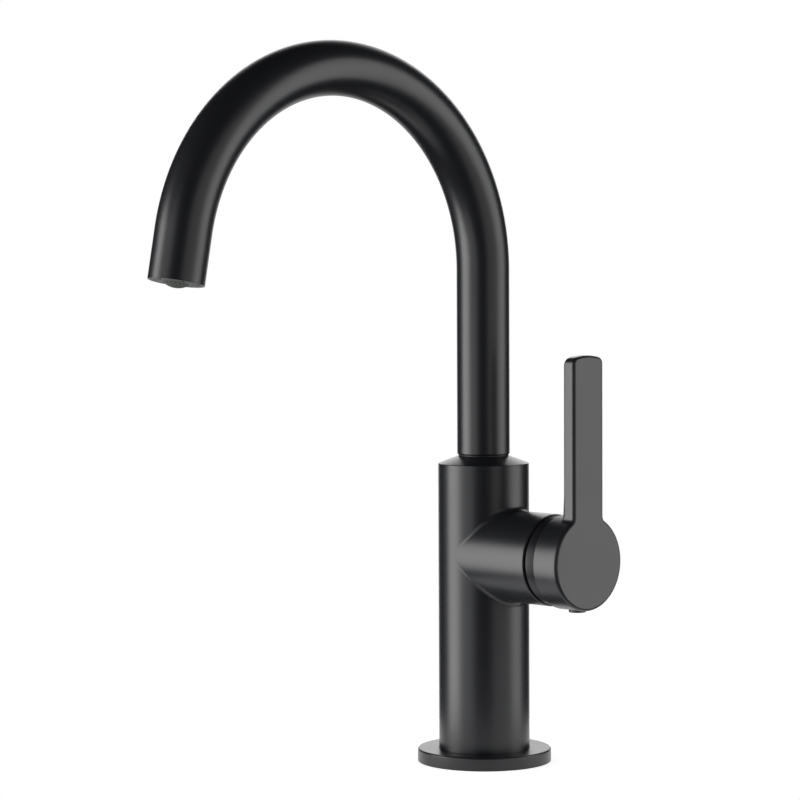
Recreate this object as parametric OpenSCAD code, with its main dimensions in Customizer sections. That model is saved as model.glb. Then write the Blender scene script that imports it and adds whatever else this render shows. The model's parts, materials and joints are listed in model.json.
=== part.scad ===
// Gooseneck bar faucet with a swivel spout and one side lever.
// Origin: centre of the base flange's underside, on the deck. +Z is up,
// the spout reaches towards -Y and the lever sits on the +X side.

/* [Body] */
// Diameter of the upright body
body_d = 38; // [37:0.5:48]
// Height of the body's shoulder edge above the deck
body_edge_z = 125.3; // [122:0.5:170]
// Height of the cone above that edge
cone_h = 3.2; // [3:0.1:6]
// Wall of the hollow lower body
body_wall = 3.5; // [2.5:0.1:4.5]
// Height where the hollow ends and the solid casting starts
hollow_top_z = 60; // [45:1:72]
// Radius of the waterway up to the spout
outlet_way_r = 4; // [3.5:0.1:4.5]

/* [Base] */
// Diameter of the base flange
flange_d = 56; // [52:1:70]
// Thickness of the base flange
flange_t = 5.6; // [4.5:0.1:8]
// Rounding of the flange's upper rim
flange_edge = 0.8; // [0.3:0.1:1.5]
// Thickness of the ledge that the body stands on
ledge_t = 2.2; // [1.8:0.1:3]
// Width of the ledge under the body's wall
ledge_w = 3.2; // [2.5:0.1:3.4]
// Thickness of the rubber ring under the flange
gasket_t = 1.6; // [1:0.1:2]
// Width of that rubber ring
gasket_w = 3.8; // [2.5:0.1:4.5]
// Distance from the flange's rim to the rubber ring
gasket_inset = 3.1; // [2:0.1:4]
// Height of the threaded foot insert
insert_h = 20; // [17:0.5:26]
// Core radius of the M10x1 hose sockets
hose_r = 4.5; // [4:0.1:4.8]
// Depth of the hose sockets
hose_depth = 12; // [9:0.5:14]
// Distance of each inlet from the middle plane
inlet_y = 8; // [7.5:0.1:8.4]
// Distance of the inlets in front of the axis, towards the lever
inlet_x = 4.5; // [4:0.1:5]
// Core radius of the M8 mounting stud's hole
stud_r = 3.4; // [3:0.1:3.6]
// Distance of that hole from the axis
stud_x = 9; // [8.5:0.1:10]
// Outer radius of the brazed inlet tubes
inlet_tube_r = 4; // [3.5:0.1:4.2]
// Wall of the inlet tubes
inlet_tube_wall = 1; // [0.6:0.1:1.2]
// Depth of the sockets that the inlet tubes are brazed into
inlet_socket = 7; // [5:0.5:8]

/* [Spout] */
// Outer diameter of the spout tube
tube_d = 22; // [18:0.1:27]
// Wall of the spout tube
tube_wall = 1.1; // [0.9:0.1:1.3]
// Height of the arch's centre
arch_z = 206.2; // [170:1:260]
// Radius of the arch along the tube's middle
arch_r = 80.3; // [60:1:110]
// Angle that the arch turns through
arch_sweep = 169.2; // [150:0.5:180]
// Straight length after the arch
outlet_len = 19.7; // [16:0.1:40]
// Rounding of the tube's lower rim
tube_edge = 0.8; // [0.3:0.1:0.9]
// How far the tube's rim stands out beyond the cone's top
tube_overhang = 0.4; // [0:0.1:0.8]
// How much finer the swivel nipple is than the tube's bore
nipple_step = 1; // [0.8:0.1:1.6]
// Length of the swivel nipple inside the body
nipple_len = 24.5; // [23:0.5:30]
// Wall of the nipple under its rubber rings
nipple_wall = 1.9; // [1.2:0.1:2.5]
// Width of the lands between the nipple's grooves
land_w = 1.2; // [0.8:0.1:1.6]
// Length of the spigot brazed into the tube
spigot_len = 12; // [8:0.5:20]
// Thickness of the slide washer under the tube
washer_t = 0.4; // [0.4:0.1:0.8]
// Thickness of the nipple's rubber rings
o_ring_t = 1.8; // [1.5:0.1:2]
// Height of each slide ring
glide_h = 2; // [1.5:0.1:2.4]
// Depth of the slide rings' grooves
glide_depth = 0.9; // [0.7:0.1:1.1]
// Distance from the tube's rim to the upper slide ring
glide_inset = 4.5; // [3:0.1:6]
// Radius of the M5 grub screw that keeps the spout in
grub_r = 2.5; // [2:0.1:2.5]
// Radius of the grub screw's tip
grub_tip_r = 1.5; // [1.2:0.1:1.6]
// Depth of the groove that the tip runs in
grub_groove_depth = 1.3; // [1:0.1:1.5]

/* [Outlet] */
// Length of the threaded ring in the tube's end
socket_len = 12; // [11:0.5:14]
// Wall of that ring
socket_wall = 1.1; // [0.9:0.1:1.2]
// How far the aerator stands out of the tube
aerator_proud = 0.1; // [0:0.1:1]
// Thickness of the aerator's toothed head
aerator_head_t = 1.1; // [1:0.1:2]
// Wall of the aerator's barrel
aerator_wall = 1.35; // [1.2:0.05:1.5]
// Number of key notches in the head
notch_count = 6; // [4:1:8]
// Width of a key notch
notch_w = 1.6; // [1:0.1:2]
// Bulge of the perforated face
screen_bulge = 1.5; // [0.5:0.1:1.5]
// Thickness of the perforated face
screen_t = 1; // [0.6:0.1:1.2]
// Spacing of the face's holes
hole_pitch = 2; // [1.8:0.1:2]
// Radius of the face's holes
hole_r = 0.5; // [0.3:0.05:0.6]
// Thickness of the flow core
core_t = 4.5; // [3:0.1:5]
// Thickness of the inlet sieve
sieve_t = 1; // [0.6:0.1:1.5]
// Thickness of the aerator's gasket
aerator_gasket_t = 1.5; // [1:0.1:1.8]

/* [Branch] */
// Height of the side branch's axis above the deck
branch_z = 87.4; // [84:0.5:92]
// Distance from the body's axis to the branch's end
branch_reach = 41.6; // [40:0.2:60]
// How much finer the branch is than the body
branch_step = 0.1; // [0.1:0.1:2]
// Rounding of the branch's rim
branch_edge = 0.6; // [0.3:0.1:1]
// Width of the shadow gap before the bonnet
bonnet_groove = 0.7; // [0.5:0.1:1]
// How far the bonnet's rim lies inside the branch's
bonnet_step = 0.8; // [0.6:0.1:1]
// Height of the bonnet's dome
bonnet_h = 3.9; // [3.5:0.1:4]
// Thickness of the bonnet's top
bonnet_top_t = 1.2; // [1:0.1:1.3]
// Radius of the bonnet's opening
bonnet_hole_r = 7.5; // [7:0.1:8]

/* [Cartridge] */
// Outer radius of the cartridge
cart_r = 12.5; // [12:0.1:15]
// Wall of the cartridge's shell
cart_wall = 1.3; // [1:0.1:1.5]
// Radius of the circle that the three ports lie on
port_circle_r = 6.2; // [6:0.1:6.4]
// Radius of the ports
port_r = 2.4; // [2.2:0.1:2.6]
// Thickness of the port seals
seal_t = 1.6; // [1.2:0.1:2]
// How far the port seals stand proud of the base
seal_proud = 0.5; // [0.3:0.1:0.7]
// Radial width of a port seal
seal_w = 1.5; // [1.2:0.1:1.6]
// Thickness of the cartridge base's rim
base_rim_t = 2; // [1.6:0.1:3]
// Thickness of the base's plug inside the shell
base_plug_t = 3; // [2.5:0.1:4]
// Thickness of each ceramic disc
disc_t = 3.5; // [3:0.1:4]
// Height of the disc carrier
carrier_t = 7.5; // [7:0.1:8]
// Thickness of the turret's rim
turret_rim_t = 3; // [2.5:0.1:3.5]
// How much finer the shell's neck is than the shell
neck_step = 2.5; // [2:0.1:2.8]
// Wall of the shell's neck
neck_wall = 1.7; // [1.2:0.1:2]
// Thickness of the shell's shoulder
shoulder_t = 3; // [2.5:0.1:4]
// Height of the ring nut
nut_h = 4.5; // [4:0.1:6]
// How far the nut's thread stands out beyond the cartridge
nut_grip = 2.5; // [1.8:0.1:3]
// Width of the nut's spanner slots
nut_slot_w = 3; // [2:0.1:4]
// Depth of the branch's bore in front of the nut
nut_recess = 0.6; // [0.4:0.1:1]
// Side of the square stem
stem_w = 6; // [5.6:0.1:6.2]
// Radius of the stem's thin part
stem_neck_r = 2.2; // [2:0.1:2.3]
// Radius of the ball at the stem's inner end
ball_r = 3; // [2.8:0.1:3]
// Distance from the pivot to the ball
ball_arm = 10; // [9.5:0.1:10.2]
// Radius of the pivot pin
pin_r = 1.5; // [1.2:0.1:1.6]
// Distance from the turret's rim to the pivot
pivot_rise = 4.7; // [4.5:0.1:5]
// Distance from the pivot to the turret's top
turret_top = 6.6; // [6:0.1:6.6]

/* [Handle] */
// Outward tilt of the lever, fully open
tilt_max = 18; // [12:1:21]
// Length of the handle's hub
hub_len = 13; // [12.6:0.1:16]
// How far the hub stands out beyond the branch
hub_overhang = 0.5; // [0.3:0.1:1]
// Wall of the hub
hub_wall = 2.8; // [2.2:0.1:3]
// Thickness of the hub's front
hub_front_t = 3.6; // [3:0.1:4.2]
// Rounding of the handle's front edges
front_edge = 1.5; // [1:0.1:2.4]
// Rounding of the handle's rear edges
rear_edge = 0.5; // [0.3:0.1:0.8]
// Radius of the boss that grips the stem
boss_r = 6; // [5.8:0.1:6.2]
// Distance from the hub's rear rim to the boss
boss_inset = 3.9; // [3.9:0.1:4.4]
// Height of the lever's tip above the deck
lever_top_z = 171.6; // [140:0.5:230]
// Width of the lever
lever_w = 17.5; // [13:0.5:24]
// Thickness of the lever
lever_t = 6.5; // [5:0.1:8]
// Radius of the lever's crowned tip
crown_r = 30; // [20:1:60]
// Radius of the M5 set screw
set_screw_r = 2.5; // [2:0.1:2.5]
// Length of the set screw
set_screw_len = 6; // [5:0.5:8]
// Distance from the hub's rear rim to the set screw
set_screw_inset = 6.4; // [6.4:0.1:6.8]
// Radius of the plug that covers the set screw
plug_r = 3.5; // [3:0.1:3.6]
// How far the plug stands out of the hub
plug_proud = 0.8; // [0.3:0.1:1]
// Depth of the plug's seat
plug_seat = 2.4; // [1.5:0.1:2.5]

/* [Clearances] */
// Between parts that turn in each other
run_gap = 0.06; // [0.02:0.01:0.1]
// Between a thread's two members and between parts that seat
seat_gap = 0.05; // [0.03:0.01:0.1]
// Between parts that slide past each other freely
free_gap = 0.15; // [0.1:0.05:0.2]
// Between the end faces of stacked parts that move
end_gap = 0.3; // [0.2:0.05:0.4]

/* [Hidden] */
$fn = 96;

// How far a cutting shape runs past what it cuts
over = 1;

black = [0.16, 0.16, 0.17];
brass = [0.78, 0.62, 0.34];
copper = [0.72, 0.45, 0.30];
steel = [0.70, 0.71, 0.73];
rubber = [0.10, 0.10, 0.10];
acetal = [0.90, 0.90, 0.87];
ceramic = [0.96, 0.95, 0.92];
screen_grey = [0.42, 0.44, 0.42];

// Body and base
body_r = body_d / 2;
flange_r = flange_d / 2;
column_bore_r = body_r - body_wall;
cone_top_z = body_edge_z + cone_h;
cone_top_r = tube_d / 2 - tube_overhang;
insert_r = column_bore_r - seat_gap;
insert_z = ledge_t + end_gap;
insert_top_z = insert_z + insert_h;
inlet_bore_r = inlet_tube_r - inlet_tube_wall;
inlet_tube_z = insert_top_z - inlet_socket;
inlet_tube_top_z = hollow_top_z + inlet_socket;
gasket_r = flange_r - gasket_inset;

// Spout and its swivel
tube_r = tube_d / 2;
tube_bore_r = tube_r - tube_wall;
tube_z = cone_top_z + washer_t;
nipple_r = tube_bore_r - nipple_step;
socket_bore_r = nipple_r + run_gap;
nipple_z = tube_z - nipple_len;
socket_floor_z = nipple_z - end_gap;
o_ring_r = socket_bore_r - seat_gap - o_ring_t / 2;
o_ring_groove_h = o_ring_t + 2 * end_gap;
nipple_bore_r = o_ring_r - o_ring_t / 2 - nipple_wall;
lower_glide_z = nipple_z + land_w;
upper_glide_z = tube_z - glide_inset - glide_h;
lower_o_ring_z = lower_glide_z + glide_h + land_w + o_ring_groove_h / 2;
upper_o_ring_z = lower_o_ring_z + o_ring_groove_h + land_w;
grub_groove_h = 2 * grub_tip_r + 2 * end_gap;
grub_z = upper_o_ring_z + o_ring_groove_h / 2 + land_w + grub_groove_h / 2;
grub_groove_r = nipple_r - grub_groove_depth;
outlet_y = -arch_r + arch_r * cos(arch_sweep) - outlet_len * sin(arch_sweep);
outlet_z = arch_z + arch_r * sin(arch_sweep) + outlet_len * cos(arch_sweep);

// Hexagon sockets of the two M5 screws, and the wall of the turned spigots
hex_r = 1.45;
hex_depth = 2.6;
spigot_wall = 1.6;

// Outlet stack, measured into the tube from its end
socket_floor_t = 1.2;
lip_w = 0.5;
core_gap = 1.1;
socket_r = tube_bore_r - seat_gap;
thread_r = socket_r - socket_wall;
aerator_r = thread_r - seat_gap;
aerator_head_r = tube_bore_r - free_gap;
aerator_bore_r = aerator_r - aerator_wall;
head_depth = aerator_head_t - aerator_proud;
socket_depth = head_depth + end_gap;
barrel_depth = socket_depth + socket_len - aerator_gasket_t - socket_floor_t;
lip_r = aerator_bore_r - lip_w;
screen_r = aerator_bore_r - seat_gap;
hole_rings = floor((screen_r - 2 * hole_r) / hole_pitch);
screen_curve_r = (screen_r * screen_r + screen_bulge * screen_bulge) / (2 * screen_bulge);
core_depth = aerator_proud + screen_t + core_gap;
sieve_depth = barrel_depth - sieve_t;

// Cartridge stack along the branch's axis
seat_x = branch_reach - nut_recess - nut_h - shoulder_t - 2 * end_gap
    - turret_rim_t - carrier_t - 2 * disc_t - base_plug_t - base_rim_t - seal_proud;
base_x = seat_x + seal_proud;
plug_x = base_x + base_rim_t;
fixed_disc_x = plug_x + base_plug_t;
moving_disc_x = fixed_disc_x + disc_t;
carrier_x = moving_disc_x + disc_t;
carrier_top_x = carrier_x + carrier_t;
turret_x = carrier_top_x + end_gap;
rim_top_x = turret_x + turret_rim_t;
shoulder_x = rim_top_x + end_gap;
nut_x = shoulder_x + shoulder_t;
nut_top_x = nut_x + nut_h;
pivot_x = rim_top_x + pivot_rise;
turret_top_x = pivot_x + turret_top;
neck_top_x = turret_top_x - 2 * end_gap;
shell_bore_r = cart_r - cart_wall;
neck_r = cart_r - neck_step;
neck_bore_r = neck_r - neck_wall;
turret_r = neck_bore_r - run_gap;
fixed_disc_r = shell_bore_r - end_gap;
nut_r = cart_r + nut_grip;
cavity_r = cart_r + free_gap;
nut_bore_r = neck_r + free_gap;
thread_bore_r = nut_r + seat_gap;
branch_r = body_r - branch_step;

// The disc rests off centre, so that it stays inside the shell at both ends of its travel
disc_travel = ball_arm * tilt_max * PI / 180;
disc_offset = disc_travel / 2;
moving_disc_r = shell_bore_r - disc_offset - end_gap;
lug_y = 6.5;
lug_w = 2;
lug_len = 6;
lug_h = 2.4;
pocket_r = 5.4;
pocket_offset = 4.6;
pocket_depth = 2;

// Bonnet and handle
bonnet_x = branch_reach + bonnet_groove;
bonnet_top_x = bonnet_x + bonnet_h;
bonnet_r = branch_r - bonnet_step;
dome_r = sqrt(pow(bonnet_r, 2) + pow(bonnet_x - pivot_x, 2));
hub_r = branch_r + hub_overhang;
hub_bore_r = hub_r - hub_wall;
hub_x = branch_reach + hub_r * sin(tilt_max);
hub_front_x = hub_x + hub_len;
hub_cavity_x = hub_front_x - hub_front_t;
boss_x = hub_x + boss_inset;
rib_wall = 1.2;
rib_w = 2 * (plug_r + rib_wall);
stem_socket_w = stem_w + 2 * seat_gap;
stem_end_x = hub_cavity_x - end_gap;
set_screw_x = hub_x + set_screw_inset;
set_screw_top = stem_socket_w / 2;
plug_floor = hub_r - plug_seat;

// ---- Shapes used more than once ----

// Upright cylinder between two heights
module rod(r, z0, z1) {
    translate([0, 0, z0])
    cylinder(r = r, h = z1 - z0);
}

// Upright tube between two heights
module ring(r_out, r_in, z0, z1) {
    difference() {
        rod(r_out, z0, z1);
        rod(r_in, z0 - over, z1 + over);
    }
}

// M5 screw without a head, its hexagon socket at the top
module socket_screw(r, z0, z1) {
    difference() {
        rod(r, z0, z1);
        translate([0, 0, z1 - hex_depth])
        cylinder(r = hex_r, h = hex_depth + over, $fn = 6);
    }
}

// Rubber ring of round section around Z
module o_ring(r, t, z) {
    translate([0, 0, z])
    rotate_extrude()
    translate([r, 0])
    circle(r = t / 2);
}

// Cylinder with a rounded rim at each end
module rounded_rod(r, z0, z1, lower_edge, upper_edge) {
    rotate_extrude() {
        translate([0, z0 + lower_edge])
        square([r, z1 - z0 - lower_edge - upper_edge]);
        translate([0, z0])
        square([r - lower_edge, lower_edge]);
        translate([0, z1 - upper_edge])
        square([r - upper_edge, upper_edge]);
        translate([r - lower_edge, z0 + lower_edge])
        circle(r = lower_edge);
        translate([r - upper_edge, z1 - upper_edge])
        circle(r = upper_edge);
    }
}

// Plate's hole pattern: a centre hole and rings of six, twelve, eighteen
module hole_pattern(r, pitch, rings, z0, z1) {
    rod(r, z0, z1);
    for (k = [1:rings])
        for (i = [0:6 * k - 1])
            rotate([0, 0, i * 60 / k])
            translate([k * pitch, 0, 0])
            rod(r, z0, z1);
}

// Upright frame to the side branch: its Z runs along +X, its X points down
module on_branch() {
    translate([0, 0, branch_z])
    rotate([0, 90, 0])
    children();
}

// Upright frame to the outlet: its Z runs out of the spout's end
module at_outlet() {
    translate([0, outlet_y, outlet_z])
    rotate([arch_sweep, 0, 0])
    children();
}

// The three port positions, the outlet lowest
module at_ports() {
    for (a = [0, 120, 240])
        rotate([0, 0, a])
        translate([port_circle_r, 0, 0])
        children();
}

// The two inlets, either side of the middle plane
module at_inlets() {
    for (side = [-1, 1])
        translate([inlet_x, side * inlet_y, 0])
        children();
}

// ---- Base ----

module base_flange() {
    color(black)
    difference() {
        rotate_extrude() {
            square([flange_r, flange_t - flange_edge]);
            square([flange_r - flange_edge, flange_t]);
            translate([flange_r - flange_edge, flange_t - flange_edge])
            circle(r = flange_edge);
        }
        rod(body_r - ledge_w, -over, flange_t + over);
        rod(body_r + seat_gap, ledge_t, flange_t + over);
        ring(gasket_r + seat_gap, gasket_r - gasket_w - seat_gap, -over, gasket_t);
    }
}

module base_gasket() {
    color(rubber)
    ring(gasket_r, gasket_r - gasket_w, 0, gasket_t);
}

module base_insert() {
    color(brass)
    difference() {
        rod(insert_r, insert_z, insert_top_z);
        at_inlets() {
            rod(hose_r, insert_z - over, insert_z + hose_depth);
            rod(inlet_bore_r, insert_z, insert_top_z);
            rod(inlet_tube_r + seat_gap, inlet_tube_z, insert_top_z + over);
        }
        translate([-stud_x, 0, 0])
        rod(stud_r, insert_z - over, insert_top_z + over);
    }
}

module inlet_tubes() {
    color(copper)
    at_inlets()
    ring(inlet_tube_r, inlet_bore_r, inlet_tube_z, inlet_tube_top_z);
}

// ---- Body ----

module body_outside() {
    rod(body_r, ledge_t, body_edge_z);
    translate([0, 0, body_edge_z])
    cylinder(r1 = body_r, r2 = cone_top_r, h = cone_h);
    on_branch()
    rounded_rod(branch_r, 0, branch_reach, branch_edge, branch_edge);
}

module body_waterways() {
    port_rise = port_circle_r * cos(60);
    port_side = port_circle_r * sin(60);
    at_inlets() {
        rod(inlet_bore_r, hollow_top_z, branch_z + port_rise + port_r / 2);
        rod(inlet_tube_r + seat_gap, hollow_top_z - over, inlet_tube_top_z);
    }
    on_branch()
    for (side = [-1, 1])
        translate([-port_rise, side * port_side, 0])
        rod(port_r, inlet_x, seat_x + over);
    on_branch()
    translate([port_circle_r, 0, 0])
    rod(port_r, 0, seat_x + over);
    rod(outlet_way_r, branch_z - port_circle_r - port_r / 2, socket_floor_z + over);
}

module cartridge_cavity() {
    on_branch() {
        rod(cavity_r, seat_x, branch_reach + over);
        rod(thread_bore_r, shoulder_x + end_gap, branch_reach + over);
    }
}

module grub_hole() {
    translate([0, 0, grub_z])
    rotate([-90, 0, 0])
    rod(grub_r + seat_gap, socket_bore_r / 2, body_r + over);
}

module faucet_body() {
    color(black)
    difference() {
        body_outside();
        rod(column_bore_r, 0, hollow_top_z);
        rod(socket_bore_r, socket_floor_z, cone_top_z + over);
        body_waterways();
        cartridge_cavity();
        grub_hole();
    }
}

module spout_grub_screw() {
    head_inset = 0.8;
    shoulder_y = nipple_r + 2 * end_gap;
    color(steel)
    translate([0, 0, grub_z])
    rotate([-90, 0, 0]) {
        socket_screw(grub_r, shoulder_y, body_r - head_inset);
        rod(grub_tip_r, grub_groove_r + end_gap, shoulder_y + over);
    }
}

// ---- Spout ----

module spout_washer() {
    color(black)
    ring(cone_top_r - free_gap, socket_bore_r + seat_gap, cone_top_z, tube_z);
}

module nipple_groove(root_r, z, h) {
    ring(nipple_r + over, root_r, z, z + h);
}

module spout_connector() {
    step_t = 2;
    spigot_r = tube_bore_r - seat_gap;
    spigot_bore_r = spigot_r - spigot_wall;
    color(brass)
    difference() {
        union() {
            rod(nipple_r, nipple_z, tube_z);
            rod(spigot_r, tube_z, tube_z + spigot_len);
        }
        rod(nipple_bore_r, nipple_z - over, tube_z + spigot_len);
        rod(spigot_bore_r, tube_z + step_t, tube_z + spigot_len + over);
        for (z = [lower_o_ring_z, upper_o_ring_z])
            nipple_groove(o_ring_r - o_ring_t / 2, z - o_ring_groove_h / 2, o_ring_groove_h);
        for (z = [lower_glide_z, upper_glide_z])
            nipple_groove(nipple_r - glide_depth, z, glide_h + seat_gap);
        nipple_groove(grub_groove_r, grub_z - grub_groove_h / 2, grub_groove_h);
    }
}

module spout_o_rings() {
    color(rubber)
    for (z = [lower_o_ring_z, upper_o_ring_z])
        o_ring(o_ring_r, o_ring_t, z);
}

module spout_glide_rings() {
    slit_w = 1;
    color(acetal)
    for (z = [lower_glide_z, upper_glide_z])
        difference() {
            ring(socket_bore_r - run_gap / 2, nipple_r - glide_depth, z, z + glide_h);
            translate([-slit_w / 2, 0, z - over])
            cube([slit_w, nipple_r + over, glide_h + 2 * over]);
        }
}

// The gooseneck as a solid bar: upright, arch and outlet. The outlet is finer
// by a hair, so that its side never lies in the arch's.
module gooseneck(r, z0, outlet_end) {
    hair = 0.02;
    lap = 0.5;
    rod(r, z0, arch_z);
    translate([0, -arch_r, arch_z])
    rotate([90, 0, 90])
    rotate_extrude(angle = arch_sweep)
    translate([arch_r, 0])
    circle(r = r);
    at_outlet()
    rod(r - hair, -outlet_len - lap, outlet_end);
}

module spout_tube() {
    color(black)
    difference() {
        union() {
            gooseneck(tube_r, arch_z - spigot_len, 0);
            rounded_rod(tube_r, tube_z, arch_z - tube_edge, tube_edge, tube_edge);
        }
        gooseneck(tube_bore_r, tube_z - over, over);
    }
}

// ---- Outlet ----

module aerator_socket() {
    color(brass)
    at_outlet()
    difference() {
        rod(socket_r, -socket_depth - socket_len, -socket_depth);
        rod(thread_r, -barrel_depth - aerator_gasket_t, -socket_depth + over);
        rod(lip_r, -socket_depth - socket_len - over, -socket_depth);
    }
}

module aerator_housing() {
    notch_root_wall = 0.6;
    notch_root_r = aerator_bore_r + notch_root_wall;
    notch_turn = 20;
    color(screen_grey)
    at_outlet()
    difference() {
        union() {
            rod(aerator_head_r, -head_depth, aerator_proud);
            rod(aerator_r, -barrel_depth, 0);
        }
        rod(aerator_bore_r, -barrel_depth - over, aerator_proud + over);
        for (i = [0:notch_count - 1])
            rotate([0, 0, i * 360 / notch_count + notch_turn])
            translate([notch_root_r, -notch_w / 2, -head_depth / 2])
            cube([tube_r, notch_w, aerator_head_t + over]);
    }
}

module aerator_screen() {
    centre_z = aerator_proud + screen_bulge - screen_curve_r;
    color(screen_grey)
    at_outlet()
    difference() {
        intersection() {
            rod(screen_r, aerator_proud - screen_bulge - screen_t, aerator_proud + screen_bulge);
            translate([0, 0, centre_z])
            sphere(r = screen_curve_r);
        }
        translate([0, 0, centre_z])
        sphere(r = screen_curve_r - screen_t);
        hole_pattern(hole_r, hole_pitch, hole_rings, -screen_t - over, aerator_proud + screen_bulge + over);
    }
}

module aerator_core() {
    jet_count = 12;
    jet_r = 0.6;
    jet_inset = 2.2;
    recess_step = 1.6;
    jet_circle_r = screen_r - jet_inset;
    recess_r = jet_circle_r - recess_step;
    recess_depth = 1.5;
    color(acetal)
    at_outlet()
    difference() {
        rod(screen_r, -core_depth - core_t, -core_depth);
        for (i = [0:jet_count - 1])
            rotate([0, 0, i * 360 / jet_count])
            translate([jet_circle_r, 0, 0])
            rod(jet_r, -core_depth - core_t - over, -core_depth + over);
        rod(recess_r, -core_depth - recess_depth, -core_depth + over);
    }
}

module aerator_sieve() {
    color(steel)
    at_outlet()
    difference() {
        rod(screen_r, -sieve_depth - sieve_t, -sieve_depth);
        hole_pattern(hole_r, hole_pitch, hole_rings, -sieve_depth - sieve_t - over, -sieve_depth + over);
    }
}

module aerator_gasket() {
    color(rubber)
    at_outlet()
    ring(aerator_r, lip_r, -barrel_depth - aerator_gasket_t, -barrel_depth);
}

// ---- Cartridge ----

module cartridge_base() {
    color(acetal)
    on_branch()
    difference() {
        union() {
            rod(cart_r, base_x, plug_x);
            rod(shell_bore_r - seat_gap, plug_x - over, fixed_disc_x);
        }
        at_ports() {
            rod(port_r, base_x - over, fixed_disc_x + over);
            rod(port_r + seal_w + seat_gap, base_x - over, seat_x + seal_t);
        }
    }
}

module port_seals() {
    color(rubber)
    on_branch()
    at_ports()
    ring(port_r + seal_w, port_r + seat_gap, seat_x, seat_x + seal_t);
}

module fixed_disc() {
    color(ceramic)
    on_branch()
    difference() {
        rod(fixed_disc_r, fixed_disc_x, moving_disc_x);
        at_ports()
        rod(port_r, fixed_disc_x - over, moving_disc_x + over);
    }
}

module moving_disc() {
    color(ceramic)
    on_branch()
    difference() {
        translate([disc_offset, 0, 0])
        rod(moving_disc_r, moving_disc_x, carrier_x);
        translate([pocket_offset, 0, 0])
        rod(pocket_r, moving_disc_x - over, moving_disc_x + pocket_depth);
    }
}

module disc_carrier() {
    groove_w = lug_w + 2 * free_gap;
    groove_h = lug_h - end_gap + free_gap;
    socket_depth_x = pivot_x - ball_arm - ball_r - free_gap;
    color(acetal)
    on_branch()
    difference() {
        translate([disc_offset, 0, 0])
        rod(moving_disc_r, carrier_x, carrier_top_x);
        rod(ball_r + free_gap, socket_depth_x, carrier_top_x + over);
        for (side = [-1, 1])
            translate([-cart_r, side * lug_y - groove_w / 2, carrier_top_x - groove_h])
            cube([2 * cart_r, groove_w, groove_h + over]);
    }
}

module turret() {
    slot_w = max(stem_w, 2 * ball_r) + 2 * free_gap;
    slot_in = ball_arm * sin(tilt_max) + ball_r + free_gap;
    slot_out = turret_top * tan(tilt_max) + stem_w / 2 / cos(tilt_max) + 3 * free_gap;
    color(acetal)
    on_branch()
    difference() {
        union() {
            rod(shell_bore_r - free_gap, turret_x, rim_top_x);
            rod(turret_r, turret_x, turret_top_x);
            for (side = [-1, 1])
                translate([-lug_len / 2, side * lug_y - lug_w / 2, turret_x - lug_h])
                cube([lug_len, lug_w, lug_h + over]);
        }
        translate([-slot_in, -slot_w / 2, turret_x - over])
        cube([slot_in + slot_out, slot_w, turret_top_x - turret_x + 2 * over]);
        translate([0, 0, pivot_x])
        rotate([90, 0, 0])
        rod(pin_r, -turret_r - over, turret_r + over);
    }
}

module pivot_pin() {
    color(steel)
    on_branch()
    translate([0, 0, pivot_x])
    rotate([90, 0, 0])
    rod(pin_r, -turret_r + 2 * end_gap, turret_r - 2 * end_gap);
}

module valve_stem() {
    shank_back = 3.5;
    shank_x = pivot_x - shank_back;
    color(brass)
    on_branch()
    difference() {
        union() {
            translate([0, 0, pivot_x - ball_arm])
            sphere(r = ball_r);
            rod(stem_neck_r, pivot_x - ball_arm, shank_x + over);
            translate([-stem_w / 2, -stem_w / 2, shank_x])
            cube([stem_w, stem_w, stem_end_x - shank_x]);
        }
        translate([0, 0, pivot_x])
        rotate([90, 0, 0])
        rod(pin_r + run_gap, -stem_w, stem_w);
    }
}

module cartridge_shell() {
    color(acetal)
    on_branch()
    difference() {
        union() {
            rod(cart_r, plug_x + seat_gap, nut_x);
            rod(neck_r, nut_x - over, neck_top_x);
        }
        rod(shell_bore_r, plug_x - over, shoulder_x);
        rod(neck_bore_r, shoulder_x - over, neck_top_x + over);
    }
}

module cartridge_nut() {
    slot_depth = 1.5;
    color(brass)
    on_branch()
    difference() {
        ring(nut_r, nut_bore_r, nut_x, nut_top_x);
        translate([-nut_slot_w / 2, -nut_r - over, nut_top_x - slot_depth])
        cube([nut_slot_w, 2 * nut_r + 2 * over, slot_depth + over]);
    }
}

// ---- Bonnet and handle ----

module bonnet() {
    spigot_r = thread_bore_r - seat_gap;
    spigot_bore_r = spigot_r - spigot_wall;
    color(black)
    on_branch()
    difference() {
        union() {
            intersection() {
                translate([0, 0, pivot_x])
                sphere(r = dome_r);
                rod(dome_r, bonnet_x, bonnet_top_x);
            }
            rod(spigot_r, nut_top_x, bonnet_x + over);
        }
        rod(spigot_bore_r, nut_top_x - over, bonnet_top_x - bonnet_top_t);
        rod(bonnet_hole_r, nut_top_x, bonnet_top_x + over);
    }
}

// Lever's section: rounded front edges, and finer ones behind
module lever_section() {
    back_x = hub_front_x - lever_t;
    half_w = lever_w / 2;
    translate([back_x + rear_edge, -half_w])
    square([lever_t - rear_edge - front_edge, lever_w]);
    translate([back_x, -half_w + rear_edge])
    square([lever_t - front_edge, lever_w - 2 * rear_edge]);
    translate([back_x + rear_edge, -half_w + front_edge])
    square([lever_t - rear_edge, lever_w - 2 * front_edge]);
    for (side = [-1, 1]) {
        translate([back_x + rear_edge, side * (half_w - rear_edge)])
        circle(r = rear_edge);
        translate([hub_front_x - front_edge, side * (half_w - front_edge)])
        circle(r = front_edge);
    }
}

// Lever's outline seen from its end: straight sides under a crowned tip
module lever_outline() {
    intersection() {
        translate([-lever_w, 0])
        square([2 * lever_w, lever_top_z - branch_z]);
        translate([0, lever_top_z - branch_z - crown_r])
        union() {
            circle(r = crown_r);
            translate([-crown_r, -lever_top_z])
            square([2 * crown_r, lever_top_z]);
        }
    }
}

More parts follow.
